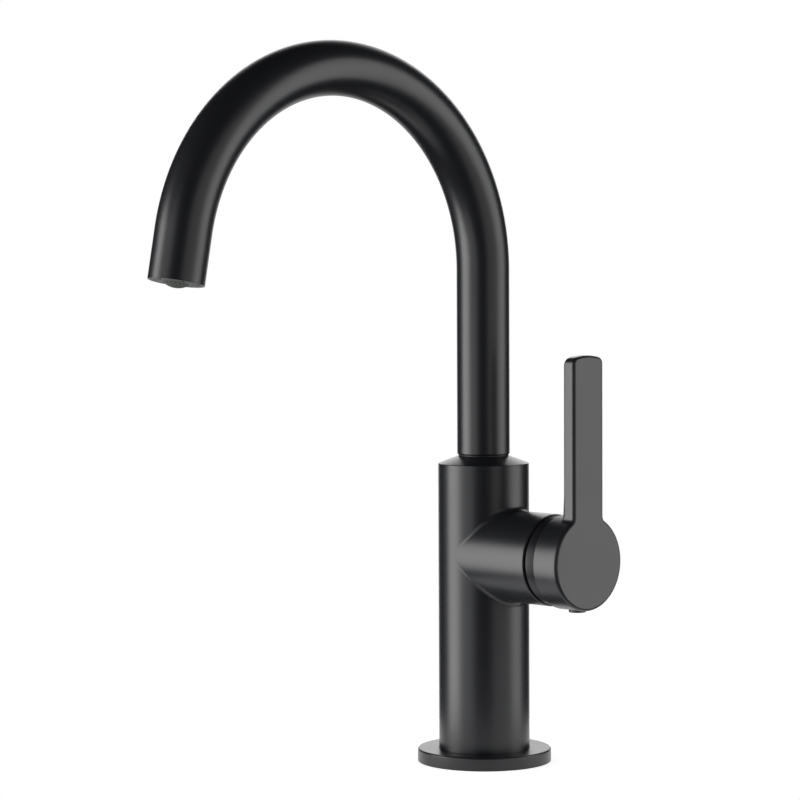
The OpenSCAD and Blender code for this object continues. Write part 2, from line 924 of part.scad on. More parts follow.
module lever_bar() {
    intersection() {
        translate([0, 0, branch_z])
        linear_extrude(height = lever_top_z - branch_z + over)
        lever_section();
        translate([0, 0, branch_z])
        rotate([90, 0, 90])
        linear_extrude(height = hub_front_x + over)
        lever_outline();
    }
}

module handle() {
    color(black)
    difference() {
        union() {
            difference() {
                union() {
                    on_branch()
                    rounded_rod(hub_r, hub_x, hub_front_x, rear_edge, front_edge);
                    lever_bar();
                }
                on_branch()
                rod(hub_bore_r, hub_x - over, hub_cavity_x);
            }
            on_branch() {
                rod(boss_r, boss_x, hub_cavity_x + over);
                translate([0, -rib_w / 2, boss_x])
                cube([hub_bore_r + over, rib_w, hub_cavity_x - boss_x + over]);
            }
        }
        on_branch() {
            translate([-stem_socket_w / 2, -stem_socket_w / 2, boss_x - over])
            cube([stem_socket_w, stem_socket_w, hub_cavity_x - boss_x + over]);
            translate([0, 0, set_screw_x])
            rotate([0, 90, 0]) {
                rod(set_screw_r + seat_gap, 0, hub_r);
                rod(plug_r + seat_gap, plug_floor, hub_r + over);
            }
        }
    }
}

module handle_set_screw() {
    color(steel)
    on_branch()
    translate([0, 0, set_screw_x])
    rotate([0, 90, 0])
    socket_screw(set_screw_r, set_screw_top, set_screw_top + set_screw_len);
}

module set_screw_plug() {
    plug_edge = 0.4;
    color(black)
    on_branch()
    translate([0, 0, set_screw_x])
    rotate([0, 90, 0])
    rounded_rod(plug_r, plug_floor, hub_r + plug_proud, plug_edge, plug_edge);
}

base_flange();
base_gasket();
faucet_body();
base_insert();
inlet_tubes();
spout_grub_screw();
spout_washer();
spout_connector();
spout_o_rings();
spout_glide_rings();
spout_tube();
aerator_socket();
aerator_housing();
aerator_screen();
aerator_core();
aerator_sieve();
aerator_gasket();
cartridge_base();
port_seals();
cartridge_shell();
fixed_disc();
moving_disc();
disc_carrier();
turret();
pivot_pin();
valve_stem();
cartridge_nut();
bonnet();
handle();
handle_set_screw();
set_screw_plug();
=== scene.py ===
"""Looks of a gooseneck bar faucet in a matt black coat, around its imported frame.

The outer pieces are modelled again as fine meshes in the places of their CAD nodes. The inner
pieces keep their CAD meshes. Every piece gets a finish made of nodes. Lengths are in metres.
"""

import json
import logging
import math
from contextlib import contextmanager
from dataclasses import dataclass
from enum import Enum
from typing import Callable, Iterator, Sequence

import bmesh
import bpy
from mathutils import Matrix, Vector

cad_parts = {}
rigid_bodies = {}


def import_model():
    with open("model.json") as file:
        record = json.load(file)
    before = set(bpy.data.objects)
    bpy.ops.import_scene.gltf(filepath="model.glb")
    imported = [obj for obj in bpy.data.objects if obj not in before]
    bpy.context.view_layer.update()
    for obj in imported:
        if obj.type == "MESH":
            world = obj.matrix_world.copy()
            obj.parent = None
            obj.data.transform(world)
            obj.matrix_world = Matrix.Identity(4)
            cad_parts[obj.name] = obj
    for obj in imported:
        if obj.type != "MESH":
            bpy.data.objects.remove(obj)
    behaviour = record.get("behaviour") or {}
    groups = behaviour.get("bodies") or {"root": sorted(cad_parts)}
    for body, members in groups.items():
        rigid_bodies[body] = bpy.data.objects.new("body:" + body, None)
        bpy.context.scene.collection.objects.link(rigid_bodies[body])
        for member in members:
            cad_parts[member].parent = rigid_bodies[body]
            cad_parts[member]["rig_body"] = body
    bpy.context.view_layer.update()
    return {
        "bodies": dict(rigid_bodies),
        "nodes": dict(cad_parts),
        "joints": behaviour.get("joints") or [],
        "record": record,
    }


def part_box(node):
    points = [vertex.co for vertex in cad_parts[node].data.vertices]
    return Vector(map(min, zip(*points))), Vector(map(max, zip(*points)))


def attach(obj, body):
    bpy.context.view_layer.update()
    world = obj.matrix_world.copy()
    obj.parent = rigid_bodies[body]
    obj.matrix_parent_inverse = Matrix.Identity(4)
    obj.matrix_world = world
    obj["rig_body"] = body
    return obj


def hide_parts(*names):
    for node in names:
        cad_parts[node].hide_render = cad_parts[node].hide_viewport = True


LOG = logging.getLogger("faucet")

Colour = tuple[float, float, float]
Point2 = tuple[float, float]
Inputs = dict[str | int, object]
Piece = bpy.types.Object
Tree = bpy.types.NodeTree

# Closer than this, two points are one
SPECK = 1e-6
# Closer than this, a point of the lever's outline lies on the hub's
SEAM = 5 * SPECK
# How far two computed places may differ and still be the same one
NEAR = 2e-5
# How far a cutting shape runs past what it cuts
OVER = 0.001
UP = Vector((0, 0, 1))
# Drawing to faucet for what is turned about the upright axis
UPRIGHT = Matrix.Identity(4)
RIGHT_ANGLE = math.radians(90)
HEXAGON_SIDES = 6
# The number of faces across a rounded corner
CORNER_SEGMENTS = 6
# How rough the noise is that makes the grain, and the one that makes the patches
GRAIN_DETAIL = 2.0
PATCH_DETAIL = 4.0
WHITE = (1, 1, 1, 1)


class Slot(Enum):
    """The record's material slots."""

    COAT = "black_coat"
    BLACK_PLASTIC = "black_plastic"
    SCREEN = "screen_plastic"
    BRASS = "brass"
    COPPER = "copper"
    STEEL = "steel"
    RUBBER = "rubber"
    ACETAL = "acetal"
    CERAMIC = "ceramic"


class Axis(Enum):
    """The axis that a round wall is drawn along."""

    X = Vector((1, 0, 0))
    Z = Vector((0, 0, 1))


# ---- Modelling by hand: selecting, editing and finishing ----


def deselect() -> None:
    """Leaves nothing selected, so that an operator acts only on what is picked next."""
    for chosen in list(bpy.context.selected_objects):
        chosen.select_set(False)


def choose(piece: Piece) -> None:
    """Makes one piece the active object and the only selected one.

    Args:
        piece: The object to choose.
    """
    deselect()
    bpy.context.view_layer.objects.active = piece
    piece.select_set(True)


def named(name: str) -> Piece:
    """Names the primitive that was just added and brings its object to the origin.

    Args:
        name: The piece's name.

    Returns:
        The new object.
    """
    piece = bpy.context.object
    piece.name = name
    piece.data.name = name
    bpy.ops.object.transform_apply(location=True, rotation=True, scale=True)
    return piece


@contextmanager
def editing(piece: Piece) -> Iterator[None]:
    """Keeps a piece in edit mode for the length of a with block.

    Args:
        piece: The object to edit.
    """
    choose(piece)
    bpy.ops.object.mode_set(mode="EDIT")
    try:
        yield
    finally:
        bpy.ops.object.mode_set(mode="OBJECT")


def pick(piece: Piece, mode: str, test: Callable[[object], bool]) -> None:
    """Selects the vertices, edges or faces that pass a test.

    Args:
        piece: The object in edit mode.
        mode: Which of them are tested: VERT, EDGE or FACE.
        test: Says of one of them whether it is picked.
    """
    bpy.ops.mesh.select_mode(type=mode)
    bpy.ops.mesh.select_all(action="DESELECT")
    shape = bmesh.from_edit_mesh(piece.data)
    shape.normal_update()
    for part in {"VERT": shape.verts, "EDGE": shape.edges, "FACE": shape.faces}[mode]:
        if test(part):
            part.select_set(True)
    shape.select_flush_mode()
    bmesh.update_edit_mesh(piece.data)


def pick_verts(piece: Piece, test: Callable[[Vector], bool]) -> None:
    """Selects the vertices whose place passes a test."""
    pick(piece, "VERT", lambda vert: test(vert.co))


def pick_edges(piece: Piece, test: Callable[[Vector], bool], open_only: bool = False) -> None:
    """Selects the edges, or only those with a free side, whose ends' places both pass a test."""
    pick(piece, "EDGE", lambda edge: not (open_only and len(edge.link_faces) > 1)
         and all(test(vert.co) for vert in edge.verts))


def pick_faces(piece: Piece, test: Callable[[Vector, Vector], bool]) -> None:
    """Selects the faces whose middle and normal pass a test."""
    pick(piece, "FACE", lambda face: test(face.calc_center_median(), face.normal))


def pick_all() -> None:
    """Selects the whole of the edited piece."""
    bpy.ops.mesh.select_all(action="SELECT")


def pull(shift: Sequence[float] = (0, 0, 0)) -> None:
    """Extrudes what is picked and moves it by a shift."""
    bpy.ops.mesh.extrude_region_move(TRANSFORM_OT_translate={"value": shift})


def pull_line(points: Sequence[Vector]) -> None:
    """Extrudes the picked vertex, which lies at the first point, from point to point."""
    for here, there in zip(points, points[1:]):
        bpy.ops.mesh.extrude_vertices_move(TRANSFORM_OT_translate={"value": there - here})


def face_outwards() -> None:
    """Merges doubles and turns every face of the edited piece outwards."""
    pick_all()
    bpy.ops.mesh.remove_doubles(threshold=SPECK)
    bpy.ops.mesh.normals_make_consistent(inside=False)


def apply_modifier(piece: Piece, kind: str, **settings: object) -> None:
    """Adds a modifier to a piece, sets it and applies it.

    Args:
        piece: The object to change.
        kind: The modifier's type.
        **settings: The modifier's properties by name.
    """
    choose(piece)
    modifier = piece.modifiers.new(kind.title(), kind)
    for name, value in settings.items():
        setattr(modifier, name, value)
    bpy.ops.object.modifier_apply(modifier=modifier.name)


def carve(piece: Piece, tool: Piece, operation: str = "DIFFERENCE") -> None:
    """Cuts a tool's shape out of a piece, or joins it on, and removes the tool."""
    apply_modifier(piece, "BOOLEAN", object=tool, operation=operation, solver="EXACT")
    bpy.data.objects.remove(tool)


def round_edges(piece: Piece, radius_of: Callable[[Vector, Vector], float], widest: float,
                segments: int) -> None:
    """Rounds a piece's edges, each with its own radius.

    Args:
        piece: The object to change.
        radius_of: Gives an edge's rounding from its two ends, 0 for an edge that stays sharp.
        widest: The largest of those roundings.
        segments: The number of faces across a rounding.
    """
    mesh = piece.data
    weights = mesh.attributes.new("bevel_weight_edge", "FLOAT", "EDGE")
    for edge in mesh.edges:
        low, high = (mesh.vertices[index].co for index in edge.vertices)
        weights.data[edge.index].value = radius_of(low, high) / widest
    apply_modifier(piece, "BEVEL", width=widest, segments=segments, limit_method="WEIGHT",
                   offset_type="OFFSET", use_clamp_overlap=False)
    weights = mesh.attributes.get("bevel_weight_edge")
    if weights:
        mesh.attributes.remove(weights)


def soften(piece: Piece, angle: float = math.radians(32)) -> None:
    """Shades a piece smooth across its gentle edges and evens the normals beside broad faces.

    Args:
        piece: The object to shade.
        angle: The sharpest edge that is still shaded smooth.
    """
    choose(piece)
    bpy.ops.object.shade_smooth_by_angle(angle=angle)
    apply_modifier(piece, "WEIGHTED_NORMAL", mode="FACE_AREA", keep_sharp=True)


def put(piece: Piece, placing: Matrix) -> None:
    """Moves a piece's mesh to its place and leaves its object at the origin.

    Args:
        piece: The object to place.
        placing: The turn and shift from the drawing to the faucet.
    """
    choose(piece)
    piece.matrix_world = placing
    bpy.ops.object.transform_apply(location=True, rotation=True, scale=True)


# ---- Outlines, turned pieces and round walls ----


def arc(centre: Point2, radius: float, start: float, end: float, steps: int) -> list[Point2]:
    """Points along an arc between two angles, both ends among them, in a number of steps."""
    angles = [start + (end - start) * step / steps for step in range(steps + 1)]
    return [(centre[0] + radius * math.cos(a), centre[1] + radius * math.sin(a)) for a in angles]


def draw_outline(name: str, points: Sequence[Vector], closed: bool = True) -> Piece:
    """Draws an outline by extruding one vertex from point to point.

    Args:
        name: The new piece's name.
        points: The outline's points in order.
        closed: Whether the outline returns to its first point.

    Returns:
        An object that holds the outline's edges.
    """
    deselect()
    bpy.ops.mesh.primitive_plane_add(size=OVER, location=points[0])
    piece = named(name)
    with editing(piece):
        # The plane's corners become the one vertex that the outline starts from
        bpy.ops.mesh.select_mode(type="VERT")
        pick_all()
        bpy.ops.mesh.merge(type="CENTER")
        pull_line([*points, points[0]] if closed else points)
        pick_all()
        bpy.ops.mesh.remove_doubles(threshold=SPECK)
    return piece


@dataclass(frozen=True)
class Corner:
    """A corner of a turned section: its distance from the axis, its height and its rounding."""

    out: float
    up: float
    rounding: float = 0.0

    @property
    def place(self) -> Vector:
        """The corner's place in the plane of the section."""
        return Vector((self.out, 0, self.up))


def turn(name: str, section: Sequence[Corner], placing: Matrix, steps: int = 128) -> Piece:
    """Turns a section about its axis into a round piece.

    Args:
        name: The new piece's name.
        section: The section's corners. Where it starts and ends on the axis, it stays open there.
        placing: Where the axis lies in the faucet.
        steps: The number of steps in a full turn.

    Returns:
        The closed piece.
    """
    hollow = all(corner.out > SPECK for corner in section)
    piece = draw_outline(name, [corner.place for corner in section], closed=hollow)
    with editing(piece):
        for corner in section:
            if corner.rounding:
                pick_verts(piece, lambda co, spot=corner.place: (co - spot).length < NEAR)
                bpy.ops.mesh.bevel(affect="VERTICES", offset=corner.rounding, segments=CORNER_SEGMENTS)
        pick_all()
        bpy.ops.mesh.spin(steps=steps, angle=math.tau, center=(0, 0, 0), axis=UP)
        face_outwards()
    put(piece, placing)
    soften(piece)
    return piece


class RoundWall:
    """Draws a round wall ring by ring, from the loop of edges that is picked in edit mode."""

    def __init__(self, axis: Axis, centre: Vector, radius: float, place: float) -> None:
        """Starts at the picked loop.

        Args:
            axis: The wall's axis.
            centre: A point on that axis, 0 along it.
            radius: The loop's radius.
            place: Where the loop lies along the axis.
        """
        self.axis = axis.value
        self.centre = centre
        self.radius = radius
        self.place = place

    def to(self, radius: float, place: float) -> None:
        """Draws the wall on to its next ring.

        Args:
            radius: The ring's radius.
            place: Where it lies along the axis.
        """
        shift = self.axis * (place - self.place)
        pull(shift)
        ratio = radius / self.radius
        across = [ratio + (1 - ratio) * part for part in self.axis]
        bpy.ops.transform.resize(value=across, center_override=self.centre + self.axis * place)
        self.radius = radius
        self.place = place

    def close(self) -> None:
        """Closes the wall's end with a flat face."""
        bpy.ops.mesh.edge_face_add()


def rod(name: str, radius: float, low: float, high: float, placing: Matrix,
        sides: int = 48) -> Piece:
    """A plain bar, used as a cutting shape.

    Args:
        name: The new piece's name.
        radius: The bar's radius.
        low: Where it starts along its axis.
        high: Where it ends along its axis.
        placing: Where its axis lies in the faucet.
        sides: The number of its sides.

    Returns:
        The bar.
    """
    deselect()
    middle = (0, 0, (low + high) / 2)
    bpy.ops.mesh.primitive_cylinder_add(vertices=sides, radius=radius, depth=high - low, location=middle)
    piece = named(name)
    put(piece, placing)
    return piece


def block(name: str, low: Sequence[float], high: Sequence[float]) -> Piece:
    """A plain block, used as a cutting shape.

    Args:
        name: The new piece's name.
        low: Its lowest corner.
        high: Its highest corner.

    Returns:
        The block.
    """
    deselect()
    middle = [(start + end) / 2 for start, end in zip(low, high)]
    size = [end - start for start, end in zip(low, high)]
    bpy.ops.mesh.primitive_cube_add(size=1, location=middle, scale=size)
    return named(name)


# ---- Materials: nodes, groups and finishes ----


def feed(node: bpy.types.Node, inputs: Inputs) -> bpy.types.Node:
    """Sets a node's inputs, each to a constant or to what another node gives.

    Args:
        node: The node.
        inputs: The constants and output sockets, by the inputs' names or numbers.

    Returns:
        The node.
    """
    for key, source in inputs.items():
        if isinstance(source, bpy.types.NodeSocket):
            node.id_data.links.new(source, node.inputs[key])
        else:
            node.inputs[key].default_value = source
    return node


def add_node(tree: Tree, kind: str, inputs: Inputs, **settings: object) -> bpy.types.Node:
    """Adds a node to a tree, sets its properties and feeds its inputs.

    Args:
        tree: The tree.
        kind: The node's type.
        inputs: The constants and output sockets for its inputs.
        **settings: Its properties by name.

    Returns:
        The node.
    """
    node = tree.nodes.new(kind)
    for name, value in settings.items():
        setattr(node, name, value)
    return feed(node, inputs)


@dataclass(frozen=True)
class Finish:
    """How a surface looks: its two close colours, its gloss, its grain and its machining marks."""

    slot: Slot
    colour: Colour
    patch_colour: Colour
    roughness: float
    patch_roughness: float
    metallic: float = 0.0
    ior: float = 1.5
    grain_scale: float = 2500.0
    grain_depth: float = 0.00001
    grain_strength: float = 0.2
    patch_scale: float = 60.0
    mark_spacing: float = 0.0

    def material(self) -> bpy.types.Material:
        """Builds the finish's material, or finds it if it was built before."""
        name = f"{self.slot.value}_finish"
        return bpy.data.materials.get(name) or self._build(name)

    def _build(self, name: str) -> bpy.types.Material:
        """Builds the material's nodes.

        Args:
            name: The material's name.

        Returns:
            The new material.
        """
        material = bpy.data.materials.new(name)
        material.use_nodes = True
        tree = material.node_tree
        grain = add_node(tree, "ShaderNodeGroup", {
            "Grain Scale": self.grain_scale,
            "Patch Scale": self.patch_scale,
        }, node_tree=fine_grain_group())
        patches = grain.outputs["Patches"]
        colours = add_node(tree, "ShaderNodeMix", {
            "Factor": patches,
            "A": (*self.colour, 1),
            "B": (*self.patch_colour, 1),
        }, data_type="RGBA")
        gloss = add_node(tree, "ShaderNodeMapRange", {
            "Value": patches,
            "To Min": self.roughness,
            "To Max": self.patch_roughness,
        })
        relief = add_node(tree, "ShaderNodeBump", {
            "Height": self._height(tree, grain),
            "Strength": self.grain_strength,
            "Distance": self.grain_depth,
        })
        feed(tree.nodes["Principled BSDF"], {
            "Base Color": colours.outputs["Result"],
            "Metallic": self.metallic,
            "Roughness": gloss.outputs["Result"],
            "IOR": self.ior,
            "Normal": relief.outputs["Normal"],
        })
        return material

    def _height(self, tree: Tree, grain: bpy.types.Node) -> bpy.types.NodeSocket:
        """Adds the machining marks to the grain, where the finish has them.

        Args:
            tree: The material's node tree.
            grain: The grain group's node.

        Returns:
            The socket that gives the surface's height.
        """
        if not self.mark_spacing:
            return grain.outputs["Grain"]
        marks = add_node(tree, "ShaderNodeGroup", {"Marks per Metre": 1 / self.mark_spacing},
                         node_tree=machining_marks_group())
        both = add_node(tree, "ShaderNodeMath", {0: grain.outputs["Grain"], 1: marks.outputs["Marks"]},
                        operation="ADD")
        return both.outputs["Value"]


def new_group(name: str, inputs: Sequence[str], outputs: Sequence[str]) -> Tree:
    """Starts a shader node group with number sockets.

    Args:
        name: The group's name.
        inputs: The names of its inputs.
        outputs: The names of its outputs.

    Returns:
        The group, with its input and output nodes.
    """
    group = bpy.data.node_groups.new(name, "ShaderNodeTree")
    for direction, names in (("INPUT", inputs), ("OUTPUT", outputs)):
        for socket in names:
            group.interface.new_socket(name=socket, in_out=direction, socket_type="NodeSocketFloat")
    group.nodes.new("NodeGroupInput").name = "inputs"
    group.nodes.new("NodeGroupOutput").name = "outputs"
    return group


def fine_grain_group() -> Tree:
    """The grain and the soft patches that every finish has.

    Returns:
        A group with the grain's height and a mask of slow patches.
    """
    name = "fine_grain"
    if name in bpy.data.node_groups:
        return bpy.data.node_groups[name]
    group = new_group(name, ["Grain Scale", "Patch Scale"], ["Grain", "Patches"])
    place = group.nodes.new("ShaderNodeTexCoord").outputs["Object"]
    given = group.nodes["inputs"].outputs
    for scale, output, detail in (("Grain Scale", "Grain", GRAIN_DETAIL),
                                  ("Patch Scale", "Patches", PATCH_DETAIL)):
        noise = add_node(group, "ShaderNodeTexNoise",
                         {"Vector": place, "Scale": given[scale], "Detail": detail})
        feed(group.nodes["outputs"], {output: noise.outputs["Fac"]})
    return group


def machining_marks_group() -> Tree:
    """The fine lines that machining leaves, drawn slanting across a piece.

    Returns:
        A group with the lines' height.
    """
    name = "machining_marks"
    if name in bpy.data.node_groups:
        return bpy.data.node_groups[name]
    group = new_group(name, ["Marks per Metre"], ["Marks"])
    lines = add_node(group, "ShaderNodeTexWave", {
        "Vector": group.nodes.new("ShaderNodeTexCoord").outputs["Object"],
        "Scale": group.nodes["inputs"].outputs["Marks per Metre"],
        "Distortion": 0.4,
        "Detail": 1.0,
    }, wave_type="BANDS", bands_direction="DIAGONAL")
    feed(group.nodes["outputs"], {"Marks": lines.outputs["Fac"]})
    return group


COAT = Finish(Slot.COAT, (0.0090, 0.0095, 0.0118), (0.0106, 0.0112, 0.0138), 0.31, 0.36)
BLACK_PLASTIC = Finish(Slot.BLACK_PLASTIC, (0.014, 0.014, 0.015), (0.018, 0.018, 0.019), 0.42, 0.50)
SCREEN = Finish(Slot.SCREEN, (0.100, 0.111, 0.102), (0.120, 0.132, 0.121), 0.45, 0.55)
BRASS = Finish(Slot.BRASS, (0.60, 0.42, 0.17), (0.52, 0.35, 0.14), 0.28, 0.36, metallic=1.0,
               mark_spacing=0.0003)
COPPER = Finish(Slot.COPPER, (0.62, 0.30, 0.19), (0.50, 0.23, 0.15), 0.30, 0.42, metallic=1.0)
STEEL = Finish(Slot.STEEL, (0.50, 0.50, 0.51), (0.42, 0.42, 0.43), 0.25, 0.35, metallic=1.0,
               mark_spacing=0.0003)
RUBBER = Finish(Slot.RUBBER, (0.016, 0.016, 0.016), (0.024, 0.024, 0.024), 0.62, 0.75,
                grain_strength=0.5, grain_scale=1800.0)
ACETAL = Finish(Slot.ACETAL, (0.76, 0.76, 0.72), (0.70, 0.70, 0.66), 0.40, 0.48)
CERAMIC = Finish(Slot.CERAMIC, (0.86, 0.84, 0.79), (0.82, 0.80, 0.75), 0.16, 0.22)
FINISHES = {finish.slot.value: finish for finish in (
    COAT, BLACK_PLASTIC, SCREEN, BRASS, COPPER, STEEL, RUBBER, ACETAL, CERAMIC)}


# ---- The faucet's lines: the axes that its pieces lie on ----


@dataclass(frozen=True)
class Layout:
    """The height of the side branch's axis and the place of the handle's pivot on it."""

    branch_z: float
    pivot_x: float

    @classmethod
    def from_frame(cls, frame: dict) -> "Layout":
        """Reads the branch's axis and the pivot from the joint that the lever turns on.

        Args:
            frame: What the frame's loading returned.

        Returns:
            The layout.
        """
        turning = next(joint for joint in frame["joints"] if joint["name"] == "temperature_turn")
        origin = turning["pos_m"]
        return cls(branch_z=origin[2], pivot_x=origin[0])

    @property
    def centre(self) -> Vector:
        """The point where the branch's axis crosses the upright's."""
        return Vector((0, 0, self.branch_z))

    @property
    def branch(self) -> Matrix:
        """Drawing to faucet for what is turned about the branch's axis."""
        return Matrix.Translation(self.centre) @ Matrix.Rotation(RIGHT_ANGLE, 4, "Y")


def finish_piece(frame: dict, piece: Piece, node: str, finish: Finish) -> None:
    """Gives a new piece its finish, and has it ride where its CAD node does and stand for it.

    Args:
        frame: What the frame's loading returned.
        piece: The new piece.
        node: The CAD node that it replaces.
        finish: The piece's finish.
    """
    piece.data.materials.clear()
    piece.data.materials.append(finish.material())
    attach(piece, frame["nodes"][node]["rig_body"])
    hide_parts(node)
    LOG.info("%s stands for %s, %d faces", piece.name, node, len(piece.data.polygons))


# ---- Base ----


@dataclass(frozen=True)
class Base:
    """The flange on the deck."""

    radius: float
    thickness: float
    upper_rim: float = 0.0008
    lower_rim: float = 0.0002
    ledge: float = 0.0022
    seat_radius: float = 0.01905
    bore_radius: float = 0.0158
    groove_outer: float = 0.02495
    groove_inner: float = 0.02105
    groove_depth: float = 0.0016
    steps: int = 192

    @classmethod
    def from_frame(cls) -> "Base":
        """Reads the flange's outer sizes from the frame."""
        _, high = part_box("base_flange")
        return cls(radius=high.x, thickness=high.z)

    def flange(self) -> Piece:
        """Turns the flange, with the seat for the body above and the gasket's groove below.

        Returns:
            The flange.
        """
        section = [
            Corner(self.bore_radius, 0),
            Corner(self.groove_inner, 0),
            Corner(self.groove_inner, self.groove_depth),
            Corner(self.groove_outer, self.groove_depth),
            Corner(self.groove_outer, 0),
            Corner(self.radius, 0, self.lower_rim),
            Corner(self.radius, self.thickness, self.upper_rim),
            Corner(self.seat_radius, self.thickness, self.lower_rim),
            Corner(self.seat_radius, self.ledge),
            Corner(self.bore_radius, self.ledge),
        ]
        return turn("flange", section, UPRIGHT, self.steps)


# ---- Body ----


@dataclass(frozen=True)
class Body:
    """The upright casting with its shoulder cone, its side branch and the swivel's socket."""

    layout: Layout
    radius: float
    foot: float
    top: float
    branch_end: float
    branch_radius: float = 0.0189
    cone_radius: float = 0.0106
    cone_height: float = 0.0032
    hollow_radius: float = 0.0155
    hollow_top: float = 0.060
    socket_radius: float = 0.00896
    socket_floor: float = 0.1041
    thread_radius: float = 0.01505
    thread_start: float = 0.0338
    cavity_radius: float = 0.01265
    cavity_start: float = 0.0099
    fillet: float = 0.0025
    branch_rim: float = 0.0006
    shoulder: float = 0.00025
    grub_z: float = 0.1178
    grub_radius: float = 0.0025
    grub_gap: float = 0.00005
    grub_inset: float = 0.0008
    grub_tip: float = 0.0015
    grub_chamfer: float = 0.0003
    grub_shoulder: float = 0.0094
    hexagon_radius: float = 0.00145
    hexagon_depth: float = 0.0026
    margin: float = 0.004
    sides: int = 192
    grub_sides: int = 48
    fillet_segments: int = 8

    @classmethod
    def from_frame(cls, layout: Layout) -> "Body":
        """Reads the casting's outer sizes from the frame and keeps the layout."""
        low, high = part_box("faucet_body")
        return cls(layout, radius=high.y, foot=low.z, top=high.z, branch_end=high.x)

    @property
    def grub_placing(self) -> Matrix:
        """Drawing to faucet for what is turned about the grub screw's axis, at the back."""
        return Matrix.Translation((0, 0, self.grub_z)) @ Matrix.Rotation(-RIGHT_ANGLE, 4, "X")

    @property
    def shoulder_z(self) -> float:
        """Where the column ends and the cone starts."""
        return self.top - self.cone_height

    def casting(self) -> Piece:
        """Models the casting: a column, a branch mitred into it, roundings and the screw's hole.

        Returns:
            The casting.
        """
        piece = self._column()
        self._branch(piece)
        round_edges(piece, self._rounding, self.fillet, self.fillet_segments)
        hole = rod("grub_hole", self.grub_radius + self.grub_gap, self.socket_radius / 2,
                   self.radius + OVER, self.grub_placing)
        carve(piece, hole)
        soften(piece)
        return piece

    def _column(self) -> Piece:
        """Draws the upright: the outer wall in levels, the cone, the socket and the hollow foot.

        Returns:
            The casting without its branch.
        """
        deselect()
        bpy.ops.mesh.primitive_circle_add(vertices=self.sides, radius=self.radius,
                                          location=(0, 0, self.foot))
        piece = named("body_casting")
        reach = self.radius + self.margin
        branch_z = self.layout.branch_z
        levels = [branch_z - reach, branch_z + reach, self.grub_z + self.margin, self.shoulder_z]
        with editing(piece):
            pick_all()
            wall = RoundWall(Axis.Z, Vector(), self.radius, self.foot)
            for level in sorted(levels):
                wall.to(self.radius, level)
            wall.to(self.cone_radius, self.top)
            wall.to(self.socket_radius, self.top)
            wall.to(self.socket_radius, self.socket_floor)
            wall.close()
            pick_edges(piece, lambda co: abs(co.z - self.foot) < NEAR)
            wall = RoundWall(Axis.Z, Vector(), self.radius, self.foot)
            wall.to(self.hollow_radius, self.foot)
            wall.to(self.hollow_radius, self.hollow_top)
            wall.close()
        return piece

    def _on_saddle(self, spot: Vector) -> bool:
        """Whether a point lies on the line where the branch meets the column."""
        on_wall = abs(math.hypot(spot.x, spot.y) - self.radius) < NEAR
        return on_wall and abs(abs(spot.z - self.layout.branch_z) - spot.x) < NEAR

    def _branch(self, piece: Piece) -> None:
        """Cuts the saddle out of the column's front and draws the branch and its bores from it.

        Args:
            piece: The column.
        """
        centre = self.layout.centre
        reach = self.radius + self.margin

        def in_front(middle: Vector, normal: Vector) -> bool:
            """Whether a face is on the outer wall where the branch will stand."""
            outer = math.hypot(middle.x, middle.y) > self.hollow_radius
            return outer and middle.x > 0 and abs(middle.z - centre.z) < reach

        def in_saddle(middle: Vector, normal: Vector) -> bool:
            """Whether a face is one that the branch takes the place of."""
            return in_front(middle, normal) and abs(middle.z - centre.z) < middle.x

        with editing(piece):
            for side in (1, -1):
                pick_faces(piece, in_front)
                bpy.ops.mesh.bisect(plane_co=centre, plane_no=(1, 0, -side), threshold=SPECK)
            pick_faces(piece, in_saddle)
            bpy.ops.mesh.delete(type="FACE")
            pick_edges(piece, self._on_saddle, open_only=True)
            pull()
            ratio = self.branch_radius / self.radius
            end = centre + Axis.X.value * self.branch_end
            bpy.ops.transform.resize(value=(0, ratio, ratio), center_override=end)
            wall = RoundWall(Axis.X, centre, self.branch_radius, self.branch_end)
            wall.to(self.thread_radius, self.branch_end)
            wall.to(self.thread_radius, self.thread_start)
            wall.to(self.cavity_radius, self.thread_start)
            wall.to(self.cavity_radius, self.cavity_start)
            wall.close()
            face_outwards()

    def _rounding(self, low: Vector, high: Vector) -> float:
        """The rounding of one edge: a ball's fillet along the saddle, and small rims.

        Args:
            low: One end of the edge.
            high: Its other end.

        Returns:
            The distance from the edge to where its rounding starts.
        """
        if self._on_saddle(low) and self._on_saddle(high):
            if min(low.x, high.x) < NEAR or abs(low.z - high.z) < SPECK:
                return 0.0
            front = (low.x + high.x) / 2 / self.radius
            return self.fillet * front / math.sqrt(2 - front * front)
        if min(low.x, high.x) > self.branch_end - NEAR:
            outer = all(math.hypot(co.y, co.z - self.layout.branch_z) > self.branch_radius - NEAR
                        for co in (low, high))
            return self.branch_rim if outer else 0.0
        if all(abs(co.z - self.shoulder_z) < NEAR for co in (low, high)):
            return self.shoulder
        return 0.0

    def grub_screw(self) -> Piece:
        """Turns the screw that keeps the spout in, and cuts its hexagon socket.

        Returns:
            The screw.
        """
        head = self.radius - self.grub_inset
        low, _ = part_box("spout_grub_screw")
        section = [
            Corner(0, low.y),
            Corner(self.grub_tip, low.y, self.grub_chamfer),
            Corner(self.grub_tip, self.grub_shoulder),
            Corner(self.grub_radius, self.grub_shoulder, self.grub_chamfer),
            Corner(self.grub_radius, head, self.grub_chamfer),
            Corner(0, head),
        ]
        piece = turn("grub_screw", section, self.grub_placing, self.grub_sides)
        socket = rod("hexagon", self.hexagon_radius, head - self.hexagon_depth, head + OVER,
                     self.grub_placing, HEXAGON_SIDES)
        carve(piece, socket)
        soften(piece)
        return piece


# ---- Spout ----


